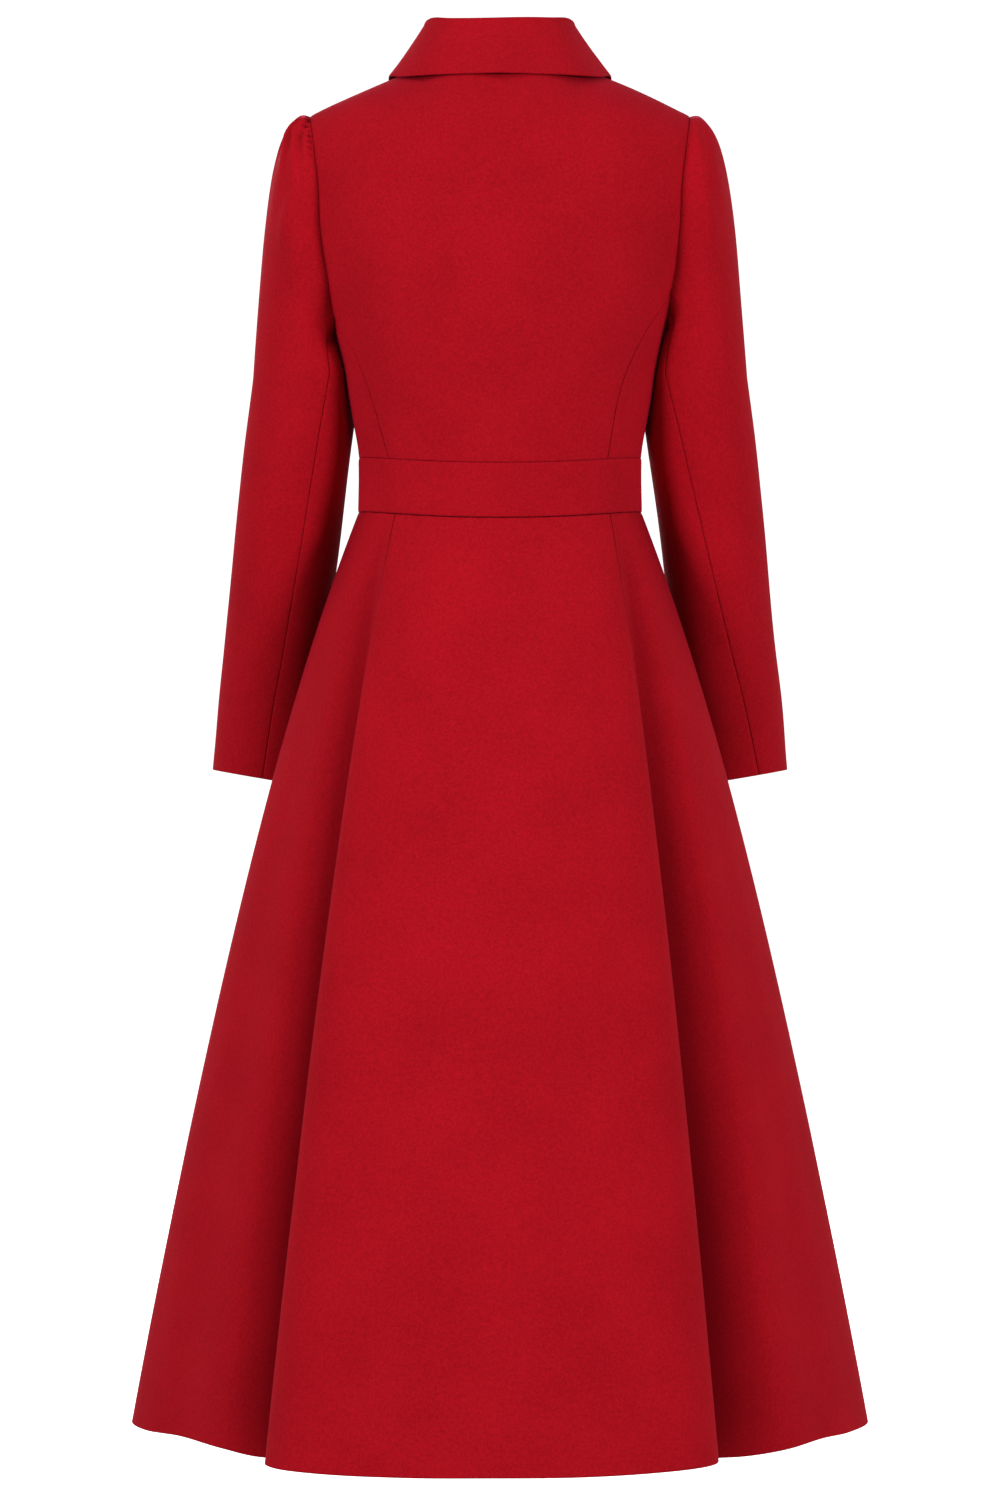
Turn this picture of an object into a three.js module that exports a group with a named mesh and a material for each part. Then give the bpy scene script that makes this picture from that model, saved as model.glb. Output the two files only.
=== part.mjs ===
import * as THREE from 'three';

// A red wool swing coat with a fitted waist, filled out as it is worn, with nothing inside it.
// Millimetres, +Z up. The front faces -Y and the wearer's left is +X.
// The origin lies midway between the two side neck points, where the shoulders carry the coat.

// Cloth
const wall = 2;
const seamGap = 0.3;

// Shoulder and neck
const sideNeck = 72;
const shoulderTip = 178;
const shoulderDrop = 46;
const shoulderBow = 1.5;
const backNeckDrop = 8;
const frontNeckDrop = 75;
const frontNeckPower = 0.6;
const backNapeRise = 40;
const frontNapeRise = -30;
const backRollStart = -120;
const frontRollStart = -190;
const underarmLevel = -256;

// Waist and hem
const waistTop = -368;
const waistBottom = -418;
const waistDip = 10;
const hemLevel = -1272;

// The skirt flares out a little faster than a straight line, most of all below the waist
const flareBow = 0.27;
const flareStart = 0.3;

// Torso sections are rounded rectangles of this power, a little squarer than an ellipse
const torsoPower = 2.2;

// Torso sections: half the width at the sides, and the depth behind and in front of the side line
const torsoSections = [
  { z: -428, halfWidth: 133, back: 95, front: 99 },
  { z: -368, halfWidth: 132.5, back: 95, front: 100 },
  { z: -338, halfWidth: 137, back: 98, front: 107 },
  { z: -293, halfWidth: 146.6, back: 104, front: 122 },
  { z: -256, halfWidth: 154.5, back: 109, front: 134 },
  { z: -241, halfWidth: 158.5, back: 110, front: 137 },
  { z: -204, halfWidth: 172, back: 112, front: 136 },
  { z: -159, halfWidth: 183, back: 113, front: 132 },
  { z: -118, halfWidth: 190, back: 113, front: 129 },
  { z: -46, halfWidth: 203, back: 113, front: 128 },
  { z: 40, halfWidth: 213, back: 113, front: 128 },
];

// Edge of the middle panels: the princess seam from the waist to the armhole, then the armhole
const edgeLeft = [
  { z: -368, x: 103 },
  { z: -321, x: 117 },
  { z: -275, x: 134.4 },
  { z: -241, x: 153.8 },
  { z: -204, x: 159.8 },
  { z: -159, x: 166.7 },
  { z: -118, x: 168.4 },
  { z: -82, x: 173 },
  { z: -46, x: 178 },
];
const edgeRight = [
  { z: -368, x: 99.5 },
  { z: -311, x: 110 },
  { z: -280, x: 121.6 },
  { z: -249, x: 138.5 },
  { z: -216, x: 158.5 },
  { z: -159, x: 166.7 },
  { z: -118, x: 168.4 },
  { z: -82, x: 173 },
  { z: -46, x: 178 },
];
const princessTop = { left: -241, right: -216 };
const princessOnArmhole = 0.8;

// Plan of the hem: radius from the middle at each angle from centre back, crests and valleys.
// The hem drops a little in the deep valleys.
// The first and last rows lie past the middle, so that the hem runs level across it.
const hemLeft = [
  { angle: -17.7, radius: 287, drop: 0 },
  { angle: 0, radius: 276, drop: 0 },
  { angle: 17.7, radius: 287, drop: 0 },
  { angle: 28.6, radius: 298, drop: 0 },
  { angle: 36, radius: 304, drop: 0 },
  { angle: 41, radius: 304, drop: 0 },
  { angle: 45, radius: 294, drop: 0 },
  { angle: 47.5, radius: 262, drop: 4 },
  { angle: 50.5, radius: 234, drop: 8 },
  { angle: 53.5, radius: 243, drop: 8 },
  { angle: 57, radius: 264, drop: 6 },
  { angle: 62, radius: 284, drop: 1 },
  { angle: 73.3, radius: 306, drop: -2 },
  { angle: 82.2, radius: 333, drop: 0 },
  { angle: 90, radius: 346, drop: 0 },
  { angle: 98, radius: 333, drop: 0 },
  { angle: 107, radius: 306, drop: 0 },
  { angle: 118, radius: 282, drop: 0 },
  { angle: 123.5, radius: 262, drop: 2 },
  { angle: 128, radius: 238, drop: 4 },
  { angle: 132, radius: 258, drop: 2 },
  { angle: 135, radius: 290, drop: 0 },
  { angle: 140, radius: 298, drop: 0 },
  { angle: 152, radius: 285, drop: 0 },
  { angle: 180, radius: 265, drop: 0 },
  { angle: 208, radius: 285, drop: 0 },
];
const hemRight = [
  { angle: -17.9, radius: 282, drop: 0 },
  { angle: 0, radius: 276, drop: 0 },
  { angle: 17.9, radius: 282, drop: 0 },
  { angle: 27.9, radius: 286, drop: 0 },
  { angle: 36.4, radius: 289, drop: 0 },
  { angle: 41.6, radius: 286, drop: 0 },
  { angle: 44.5, radius: 276, drop: 0 },
  { angle: 47, radius: 248, drop: 4 },
  { angle: 50, radius: 225, drop: 8 },
  { angle: 53, radius: 236, drop: 8 },
  { angle: 57, radius: 264, drop: 6 },
  { angle: 62.2, radius: 290, drop: 2 },
  { angle: 72.3, radius: 309.6, drop: -1 },
  { angle: 79.8, radius: 328, drop: 0 },
  { angle: 90, radius: 346, drop: 0 },
  { angle: 99, radius: 330, drop: 0 },
  { angle: 109, radius: 303, drop: 0 },
  { angle: 119, radius: 280, drop: 0 },
  { angle: 124.5, radius: 260, drop: 2 },
  { angle: 129, radius: 236, drop: 4 },
  { angle: 133, radius: 258, drop: 2 },
  { angle: 136, radius: 286, drop: 0 },
  { angle: 142, radius: 294, drop: 0 },
  { angle: 153, radius: 284, drop: 0 },
  { angle: 180, radius: 265, drop: 0 },
  { angle: 207, radius: 284, drop: 0 },
];

// Seams of the skirt panels, as angles from centre back on the waist section and on the hem plan
const skirtSeams = {
  left: { backWaist: 45, backHem: 45.5, frontWaist: 135, frontHem: 134.5 },
  right: { backWaist: 48.2, backHem: 44.5, frontWaist: 133, frontHem: 135.5 },
};

// Rows of the skirt from waist to hem, closer together where its profile curves
const skirtRows = [0, 0.04, 0.11, 0.22, 0.38, 0.57, 0.78, 1];

// Front closing: the right front lies over the left one
const closingOverlap = 20;
const closingLift = 3.2;
const closingBlend = 60;
const closingFlat = 4;
const closingLeastSlope = 0.6;

// Sleeve sections: centre, half width across and front to back
const sleeveSections = [
  { z: -290, x: 182, y: -12, across: 51, deep: 57 },
  { z: -350, x: 190.5, y: -20, across: 51, deep: 55 },
  { z: -410, x: 198, y: -32, across: 50, deep: 52 },
  { z: -476, x: 206.5, y: -49, across: 49, deep: 50 },
  { z: -548, x: 216.5, y: -73, across: 48, deep: 48 },
  { z: -604, x: 225.5, y: -95, across: 47, deep: 46 },
  { z: -668, x: 233.5, y: -117, across: 45.5, deep: 45 },
];
const cuffRise = 0.17;

// Sleeve head: how far it reaches out of the armhole before it falls, far less under the arm,
// how it leans to front, back and down there, and how it comes into the top of the arm
const headReach = 36;
const headReachLoss = 0.85;
const headLean = 0.3;
const headSink = 3;
const headLift = 0.78;
const headTuck = { outside: 14, underarm: 6 };
const underarmTurn = { start: 0.2, end: 0.8 };

// Below this distance above the underarm, the sleeve keeps clear of the torso
const sleeveClearFrom = 18;
const sleeveClearance = 2;

// Angle of the sleeve's hind seam from its outside, at the top and at the cuff, and of its fore seam
const hindSeam = {
  left: { top: 118, cuff: 97 },
  right: { top: 124, cuff: 70 },
};
const foreSeam = 108;
const seamOnArmhole = 0.85;

// Soft gathers in the sleeve heads: angle round the sleeve from its outside, height and half width.
// A gather is highest this far down the head, and swells out and up by these shares.
const gatherPace = 1.6;
const gatherOut = 0.8;
const gatherUp = 0.5;
const gathersLeft = [
  { angle: 22, height: 3, halfWidth: 9 },
  { angle: 46, height: 4, halfWidth: 9 },
  { angle: 70, height: 3, halfWidth: 9 },
  { angle: -30, height: 3, halfWidth: 10 },
];
const gathersRight = [
  { angle: 30, height: 2, halfWidth: 12 },
  { angle: 58, height: 2.5, halfWidth: 11 },
  { angle: -32, height: 2, halfWidth: 12 },
];

// Collar sections on the wearer's left, from centre back to the front end: roll line and edge
const collarSections = [
  { around: 0, roll: [0, 64, 35], edge: [0, 96, -21] },
  { around: 40, roll: [45, 50, 38], edge: [66, 75, -19.5] },
  { around: 65, roll: [63.5, 25, 42.5], edge: [92, 46, -16] },
  { around: 90, roll: [67.5, -6, 39], edge: [105, 6, -10] },
  { around: 125, roll: [58, -56, 14], edge: [98, -64, -28] },
  { around: 155, roll: [31, -82, -22], edge: [72, -110, -76] },
  { around: 172, roll: [9, -93, -34], edge: [40, -121, -106] },
];
const collarRollRadius = 4;
const collarSeamRise = 0.9;
const collarSeamInside = 1.8;

// Buttons down the closing
const buttonLevels = [-105, -201, -297, -393, -500, -610];
const buttonRadius = 12;
const buttonThickness = 4;
const buttonRim = 1;
const buttonStandoff = 0.5;
const buttonSides = 16;

// Rows of the grids, closer together near the armhole
const lowerRows = 5;
const upperRows = 7;
const capRows = 7;
const capRowPower = 1.25;
const armRows = 6;
const standRows = 3;
const rollRows = 4;
const fallRows = 4;

// Columns of the grids
const neckColumns = 5;
const shoulderColumns = 6;
const sideColumns = 5;
const bandColumns = { back: 28, front: 16 };
const skirtColumns = { back: 32, side: 20, front: 16 };
const sleeveColumns = { upper: 24, under: 8 };
const collarColumns = 13;

// Cloth and button finish
const cloth = new THREE.MeshStandardMaterial({ color: 0xae1220, roughness: 0.95, metalness: 0 });
const buttonPlastic = new THREE.MeshStandardMaterial({ color: 0x8c0f1b, roughness: 0.4, metalness: 0 });

const degrees = Math.PI / 180;
const mix = (a, b, t) => a + (b - a) * t;

function ease(from, to, at) {
  const t = Math.min(1, Math.max(0, (at - from) / (to - from)));
  return t * t * (3 - 2 * t);
}

// Value of one column of a table at a place between its rows, as a smooth curve through them
function column(rows, key, read, at) {
  const last = rows.length - 1;
  let i = 0;
  while (i < last - 1 && at > rows[i + 1][key]) i += 1;
  const slope = (k) => {
    const before = Math.max(0, k - 1);
    const after = Math.min(last, k + 1);
    return (read(rows[after]) - read(rows[before])) / (rows[after][key] - rows[before][key]);
  };
  const span = rows[i + 1][key] - rows[i][key];
  const t = Math.min(1, Math.max(0, (at - rows[i][key]) / span));
  const start = (1 + 2 * t) * (1 - t) ** 2 * read(rows[i]) + t * (1 - t) ** 2 * span * slope(i);
  const end = t * t * (3 - 2 * t) * read(rows[i + 1]) + t * t * (t - 1) * span * slope(i + 1);
  return start + end;
}

// Height of the shoulder ridge, which goes on over the neck hole as a rise that shapes the nape
function ridge(x, napeRise) {
  const out = Math.abs(x);
  if (out > sideNeck) {
    const along = (out - sideNeck) / (shoulderTip - sideNeck);
    return -shoulderDrop * along + 4 * shoulderBow * along * Math.max(0, 1 - along);
  }
  return napeRise * (1 - (out / sideNeck) ** 2);
}

// How far the cloth has rolled over towards the shoulder ridge: 1 below the roll, 0 on the ridge
function roll(x, z, behind) {
  const from = behind ? backRollStart : frontRollStart;
  const top = ridge(x, behind ? backNapeRise : frontNapeRise);
  const up = Math.min(1, Math.max(0, (z - from) / (top - from)));
  return Math.sqrt(1 - up * up);
}

// Angle on the torso section of a point this far to the side, on the back or on the front
function torsoAngle(x, z, behind) {
  const halfWidth = column(torsoSections, 'z', (row) => row.halfWidth, z);
  const angle = Math.asin(Math.min(1, (Math.abs(x) / halfWidth) ** (torsoPower / 2))) * Math.sign(x);
  return behind ? angle : Math.PI - angle;
}

// Point of the torso at an angle from centre back towards the wearer's left
function torsoPoint(angle, z) {
  const behind = Math.cos(angle) >= 0;
  const halfWidth = column(torsoSections, 'z', (row) => row.halfWidth, z);
  const depth = column(torsoSections, 'z', (row) => (behind ? row.back : row.front), z);
  const bend = (value) => Math.sign(value) * Math.abs(value) ** (2 / torsoPower);
  const x = halfWidth * bend(Math.sin(angle));
  const y = depth * bend(Math.cos(angle)) * roll(x, z, behind);
  return new THREE.Vector3(x, y, z);
}

// Level of the upper or lower waist seam, which dips at the middle of the back and the front
function waistLevel(level, angle) {
  return level - waistDip * Math.cos(angle) ** 2;
}

// Top edge of a middle panel: the neckline, then the shoulder
function topLevel(x, behind) {
  const out = Math.abs(x);
  if (out >= sideNeck) return ridge(x, 0);
  const drop = 1 - (out / sideNeck) ** 2;
  return behind ? -backNeckDrop * drop : -frontNeckDrop * drop ** frontNeckPower;
}

// Levels of the rows along the edge of a middle panel, closer together over the shoulder
function edgeLevels(side) {
  const levels = [];
  for (let i = 0; i <= lowerRows; i += 1) {
    levels.push(mix(waistTop, princessTop[side], i / lowerRows));
  }
  for (let i = 1; i <= upperRows; i += 1) {
    levels.push(mix(princessTop[side], -shoulderDrop, Math.sin(i / upperRows * Math.PI / 2)));
  }
  return levels;
}

const edges = { left: edgeLeft, right: edgeRight };
const toSide = { left: 1, right: -1 };

// One column of a middle bodice panel, from the waist to the neck or shoulder.
// It stands at a share of the half width, less how far it has gone past the middle.
function middleColumn(side, share, behind, past = 0) {
  return edgeLevels(side).map((level) => {
    const edge = column(edges[side], 'z', (row) => row.x, level);
    const x = (edge * share - past) * toSide[side];
    const top = topLevel(shoulderTip * share - past, behind);
    const rise = (level - waistTop) / (-shoulderDrop - waistTop);
    const bottomAngle = torsoAngle(x, waistTop, behind);
    const z = mix(waistLevel(waistTop, bottomAngle), top, rise);
    return torsoPoint(torsoAngle(x, z, behind), z);
  });
}

// Shares of the half width at which a middle panel's columns stand, with one at the neck point
function columnShares() {
  const shares = [];
  const neckShare = sideNeck / shoulderTip;
  for (let i = 0; i < neckColumns; i += 1) {
    shares.push(neckShare * Math.sin(i / neckColumns * Math.PI / 2));
  }
  for (let i = 0; i <= shoulderColumns; i += 1) shares.push(mix(neckShare, 1, i / shoulderColumns));
  return shares;
}

function bodiceBack() {
  const shares = columnShares();
  const right = shares.slice(1).reverse().map((share) => middleColumn('right', share, true));
  const left = shares.map((share) => middleColumn('left', share, true));
  return right.concat(left);
}

// The front goes past the middle by the closing overlap
function bodiceFront(side) {
  const past = [closingOverlap, closingOverlap / 2].map((x) => middleColumn(side, 0, false, x));
  return past.concat(columnShares().map((share) => middleColumn(side, share, false)));
}

// Side panels run from the princess seam to the side seam under the arm
function bodiceSide(side, behind) {
  const seam = middleColumn(side, 1, behind).slice(0, lowerRows + 1);
  const columns = [];
  for (let i = 0; i <= sideColumns; i += 1) {
    const share = i / sideColumns;
    columns.push(seam.map((point, row) => {
      if (i === 0) return point.clone();
      const drop = (princessTop[side] - underarmLevel) * Math.sin(share * Math.PI / 2);
      const z = point.z - (point.z - waistTop) / (princessTop[side] - waistTop) * drop;
      const seamAngle = torsoAngle(point.x, point.z, behind);
      const sideAngle = toSide[side] * Math.PI / 2;
      const angle = behind
        ? mix(seamAngle, sideAngle, share)
        : mix(seamAngle, side === 'left' ? sideAngle : 2 * Math.PI + sideAngle, share);
      const level = row === 0 ? waistLevel(waistTop, angle) : z;
      return torsoPoint(angle, level);
    }));
  }
  return columns;
}

// Waistband between two angles
function waistband(fromAngle, toAngle, steps) {
  const columns = [];
  for (let i = 0; i <= steps; i += 1) {
    const angle = mix(fromAngle, toAngle, i / steps) * degrees;
    columns.push([waistBottom, (waistBottom + waistTop) / 2, waistTop].map((level) => (
      torsoPoint(angle, waistLevel(level, angle))
    )));
  }
  return columns;
}

// Share of the flare reached at a share of the skirt's length: quick at first, then straight
function flare(share) {
  return share + flareBow * share * (1 - share) + flareStart * share * (1 - share) ** 3;
}

function hemPoint(angle) {
  const table = angle >= 0 ? hemLeft : hemRight;
  const folded = 180 - Math.abs(180 - Math.abs(angle));
  const radius = column(table, 'angle', (row) => row.radius, folded);
  return new THREE.Vector3(
    radius * Math.sin(angle * degrees),
    radius * Math.cos(angle * degrees),
    hemLevel - column(table, 'angle', (row) => row.drop, folded),
  );
}

// Skirt panel between two lines that run from the waist section to the hem plan
function skirtPanel(waistFrom, waistTo, hemFrom, hemTo, steps) {
  const columns = [];
  for (let i = 0; i <= steps; i += 1) {
    const waistAngle = mix(waistFrom, waistTo, i / steps) * degrees;
    const waist = torsoPoint(waistAngle, waistLevel(waistBottom, waistAngle));
    const hem = hemPoint(mix(hemFrom, hemTo, i / steps));
    columns.push(skirtRows.map((share) => {
      const reach = flare(share);
      return new THREE.Vector3(
        mix(waist.x, hem.x, reach),
        mix(waist.y, hem.y, reach),
        mix(waist.z, hem.z, share),
      );
    }));
  }
  return columns;
}

// Point of the armhole: share 0 at the shoulder tip, 1 under the arm
function armholePoint(side, share, behind) {
  if (share <= princessOnArmhole) {
    const level = mix(-shoulderDrop, princessTop[side], share / princessOnArmhole);
    const x = column(edges[side], 'z', (row) => row.x, level) * toSide[side];
    return torsoPoint(torsoAngle(x, level, behind), level);
  }
  const along = (share - princessOnArmhole) / (1 - princessOnArmhole);
  const x = column(edges[side], 'z', (row) => row.x, princessTop[side]) * toSide[side];
  const seamAngle = torsoAngle(x, princessTop[side], behind);
  const sideAngle = behind || side === 'left' ? toSide[side] * Math.PI / 2 : 1.5 * Math.PI;
  const level = mix(princessTop[side], underarmLevel, Math.sin(along * Math.PI / 2));
  return torsoPoint(mix(seamAngle, sideAngle, along), level);
}

// How far out the torso's side stands at a depth and a level
function torsoSide(y, z) {
  const halfWidth = column(torsoSections, 'z', (row) => row.halfWidth, z);
  const depth = column(torsoSections, 'z', (row) => (y >= 0 ? row.back : row.front), z);
  const across = Math.max(0, 1 - (Math.abs(y) / depth) ** torsoPower);
  return halfWidth * across ** (1 / torsoPower);
}

const sleeveRowsUp = sleeveSections.slice().reverse();
const sleeveTop = sleeveSections[0].z;
const sleeveCuff = sleeveRowsUp[0].z;

// Point of the sleeve's tube at a level, and at an angle from its outside towards the back
function sleeveRing(level, angle) {
  const read = (name) => column(sleeveRowsUp, 'z', (row) => row[name], level);
  const out = read('across') * Math.cos(angle);
  const back = read('deep') * Math.sin(angle);
  const down = (level - sleeveTop) / (sleeveCuff - sleeveTop);
  return new THREE.Vector3(read('x') + out, read('y') + back, level + cuffRise * down * out);
}

// Height of the gathers at an angle round the sleeve head
function gatherHeight(gathers, angle) {
  let height = 0;
  for (const gather of gathers) {
    const off = (angle / degrees - gather.angle) / gather.halfWidth;
    height += gather.height * Math.exp(-off * off);
  }
  return height;
}

// One column of a sleeve: over the head from the armhole, then down the arm to the cuff.
// The place round the sleeve runs from 0 at its outside to 1 at the underarm, front negative.
function sleeveColumn(side, place) {
  const behind = place >= 0;
  const round = Math.abs(place);
  const onArmhole = round < 0.5
    ? round / 0.5 * seamOnArmhole
    : mix(seamOnArmhole, 1, (round - 0.5) / 0.5);
  const angleAt = (down) => {
    const seam = behind ? mix(hindSeam[side].top, hindSeam[side].cuff, down) : foreSeam;
    const angle = round < 0.5 ? round / 0.5 * seam : mix(seam, 180, (round - 0.5) / 0.5);
    return angle * degrees * (behind ? 1 : -1);
  };
  const start = armholePoint('left', onArmhole, behind);
  if (side === 'right') start.copy(armholePoint('right', onArmhole, behind)).setX(-start.x);
  const angle = angleAt(0);
  const end = sleeveRing(sleeveTop, angle);
  const under = ease(underarmTurn.start, underarmTurn.end, round);
  const reach = headReach * (1 - headReachLoss * under);
  const leave = new THREE.Vector3(1, headLean * Math.sin(angle), -headSink * under).normalize();
  const lift = (start.z - end.z) * headLift;
  const tuck = Math.cos(angle) > 0 ? headTuck.outside : headTuck.underarm;
  const from = start.clone().addScaledVector(leave, seamGap * 2);
  const curve = new THREE.CubicBezierCurve3(
    from,
    start.clone().addScaledVector(leave, reach),
    end.clone().add(new THREE.Vector3(-tuck * Math.cos(angle), 0, lift)),
    end,
  );
  const gathers = side === 'left' ? gathersLeft : gathersRight;
  const points = [];
  for (let i = 0; i < capRows; i += 1) {
    const share = (i / capRows) ** capRowPower;
    const point = curve.getPoint(share);
    const swell = gatherHeight(gathers, angle) * Math.sin(Math.min(1, share * gatherPace) * Math.PI);
    point.x += swell * Math.cos(angle) * gatherOut;
    point.y += swell * Math.sin(angle);
    point.z += swell * gatherUp * (1 - share);
    points.push(point);
  }
  for (let i = 0; i <= armRows; i += 1) {
    const down = i / armRows;
    points.push(sleeveRing(mix(sleeveTop, sleeveCuff, down), angleAt(down)));
  }
  for (const point of points) {
    const clear = torsoSide(point.y, point.z) + sleeveClearance;
    if (point.z < underarmLevel + sleeveClearFrom) point.x = Math.max(point.x, clear);
    if (side === 'right') point.x *= -1;
  }
  return points;
}

function sleevePiece(side, fromPlace, toPlace, steps) {
  const columns = [];
  for (let i = 0; i <= steps; i += 1) {
    let place = mix(fromPlace, toPlace, i / steps);
    if (place > 1) place -= 2;
    columns.push(sleeveColumn(side, place));
  }
  return columns;
}

// One section of the collar: up the stand, over the roll, and down the fall to the edge
function collarColumn(around) {
  const side = Math.sign(around) || 1;
  const round = Math.abs(around);
  const read = (name, axis) => column(collarSections, 'around', (row) => row[name][axis], round);
  const place = (name) => new THREE.Vector3(side * read(name, 0), read(name, 1), read(name, 2));
  const behind = round <= 90;
  const neckX = side * sideNeck * Math.sin(round * degrees);
  const neckZ = topLevel(neckX, behind);
  const seam = torsoPoint(torsoAngle(neckX, neckZ, behind), neckZ);
  const inside = new THREE.Vector3(seam.x, seam.y, 0).normalize();
  seam.addScaledVector(inside, -collarSeamInside);
  seam.z += collarSeamRise;
  const top = place('roll');
  const edge = place('edge');
  const outward = new THREE.Vector3(top.x, top.y, 0).normalize();
  const centre = top.clone().setZ(top.z - collarRollRadius);
  const points = [];
  const standTop = centre.clone().addScaledVector(outward, -collarRollRadius);
  const fallTop = centre.clone().addScaledVector(outward, collarRollRadius);
  for (let i = 0; i < standRows; i += 1) points.push(seam.clone().lerp(standTop, i / standRows));
  for (let i = 0; i <= rollRows; i += 1) {
    const turn = Math.PI * (1 - i / rollRows);
    const point = centre.clone().addScaledVector(outward, collarRollRadius * Math.cos(turn));
    point.z += collarRollRadius * Math.sin(turn);
    points.push(point);
  }
  for (let i = 1; i <= fallRows; i += 1) points.push(fallTop.clone().lerp(edge, i / fallRows));
  return points;
}

function collar() {
  const columns = [];
  const end = collarSections[collarSections.length - 1].around;
  for (let i = -collarColumns; i <= collarColumns; i += 1) {
    columns.push(collarColumn(end * i / collarColumns));
  }
  return columns;
}

// Raises the edge of the right front over the left one, from its points moved level outwards
function liftClosing(columns, normals) {
  return columns.map((points, i) => points.map((point, j) => {
    const share = ease(-closingBlend, -closingOverlap - closingFlat, point.x);
    const level = normals[i][j].clone().setZ(0);
    const distance = closingLift * share / Math.max(closingLeastSlope, level.length());
    return point.clone().addScaledVector(level.normalize(), distance);
  }));
}

// Unit normals of a grid of points, from its neighbours along both ways
function gridNormals(columns) {
  const lastColumn = columns.length - 1;
  return columns.map((points, i) => points.map((point, j) => {
    const before = columns[Math.max(0, i - 1)][j];
    const after = columns[Math.min(lastColumn, i + 1)][j];
    const below = points[Math.max(0, j - 1)];
    const above = points[Math.min(points.length - 1, j + 1)];
    const along = after.clone().sub(before);
    const up = above.clone().sub(below);
    return along.cross(up).normalize();
  }));
}

// Pieces waiting to be made, as grids of outer points, and the normals summed where they meet
const pieces = [];
const seamNormals = new Map();
const placesPerMillimetre = 20;
const placeKey = (point) => (
  [point.x, point.y, point.z].map((value) => Math.round(value * placesPerMillimetre)).join()
);

function addPiece(name, columns, outward) {
  const normals = gridNormals(columns);
  const middle = Math.floor(columns.length / 2);
  const row = Math.floor(columns[0].length / 2);
  const sign = normals[middle][row].dot(outward(columns[middle][row])) >= 0 ? 1 : -1;
  normals.forEach((line) => line.forEach((normal) => normal.multiplyScalar(sign)));
  columns.forEach((points, i) => points.forEach((point, j) => {
    const key = placeKey(point);
    const sum = seamNormals.get(key) || new THREE.Vector3();
    seamNormals.set(key, sum.add(normals[i][j]));
  }));
  pieces.push({ name, columns });
}

// Moves the rim of a grid inwards, so that two pieces at a seam stand a little apart
function insetRim(columns) {
  const lastColumn = columns.length - 1;
  return columns.map((points, i) => points.map((point, j) => {
    const moved = point.clone();
    const steps = [];
    if (i === 0) steps.push(columns[1][j]);
    if (i === lastColumn) steps.push(columns[lastColumn - 1][j]);
    if (j === 0) steps.push(points[1]);
    if (j === points.length - 1) steps.push(points[j - 1]);
    for (const towards of steps) {
      moved.addScaledVector(towards.clone().sub(point).normalize(), seamGap / 2);
    }
    return moved;
  }));
}

// Closed wall: the outer points, the same points moved in by the cloth's thickness, and the rim
function wallGeometry(outer, normals, thickness) {
  const rows = outer[0].length;
  const count = outer.length * rows;
  const positions = [];
  outer.forEach((points) => points.forEach((point) => positions.push(point.x, point.y, point.z)));
  outer.forEach((points, i) => points.forEach((point, j) => {
    const inner = point.clone().addScaledVector(normals[i][j], -thickness);
    positions.push(inner.x, inner.y, inner.z);
  }));
  const at = (i, j) => i * rows + j;
  const faces = [];
  const quad = (a, b, c, d) => faces.push(a, b, c, a, c, d);
  for (let i = 0; i < outer.length - 1; i += 1) {
    for (let j = 0; j < rows - 1; j += 1) {
      quad(at(i, j), at(i + 1, j), at(i + 1, j + 1), at(i, j + 1));
      quad(at(i, j) + count, at(i, j + 1) + count, at(i + 1, j + 1) + count, at(i + 1, j) + count);
    }
  }
  // Both pieces at a seam split its end face along the same diagonal, so the faces lie parallel
  const last = outer.length - 1;
  const top = rows - 1;
  for (let i = 0; i < last; i += 1) {
    quad(at(i + 1, 0), at(i, 0), at(i, 0) + count, at(i + 1, 0) + count);
    quad(at(i, top), at(i + 1, top), at(i + 1, top) + count, at(i, top) + count);
  }
  for (let j = 0; j < top; j += 1) {
    quad(at(last, j + 1), at(last, j), at(last, j) + count, at(last, j + 1) + count);
    quad(at(0, j + 1), at(0, j + 1) + count, at(0, j) + count, at(0, j));
  }
  const geometry = new THREE.BufferGeometry();
  geometry.setAttribute('position', new THREE.Float32BufferAttribute(positions, 3));
  geometry.setIndex(signedVolume(positions, faces) > 0 ? faces : faces.slice().reverse());
  geometry.computeVertexNormals();
  return geometry;
}

function signedVolume(positions, faces) {
  const point = (k) => new THREE.Vector3(...positions.slice(k * 3, k * 3 + 3));
  let volume = 0;
  for (let i = 0; i < faces.length; i += 3) {
    const [a, b, c] = [point(faces[i]), point(faces[i + 1]), point(faces[i + 2])];
    volume += a.dot(b.cross(c)) / 6;
  }
  return volume;
}

function pieceMesh({ name, columns }) {
  const normals = columns.map((points) => points.map((point) => (
    seamNormals.get(placeKey(point)).clone().normalize()
  )));
  const overlapping = name.endsWith('front_right') && !name.includes('side');
  const laid = overlapping ? liftClosing(columns, normals) : columns;
  const mesh = new THREE.Mesh(wallGeometry(insetRim(laid), normals, wall), cloth);
  mesh.name = name;
  return mesh;
}

// Outside of the cloth round the body's axis, and round the sleeves' own axes
const awayFromAxis = (point) => new THREE.Vector3(point.x, point.y, 0);
const awayFromSleeve = (side) => (point) => {
  const level = Math.min(sleeveTop, point.z);
  const centre = (name) => column(sleeveRowsUp, 'z', (row) => row[name], level);
  return new THREE.Vector3(point.x - toSide[side] * centre('x'), point.y - centre('y'), 0);
};

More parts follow.
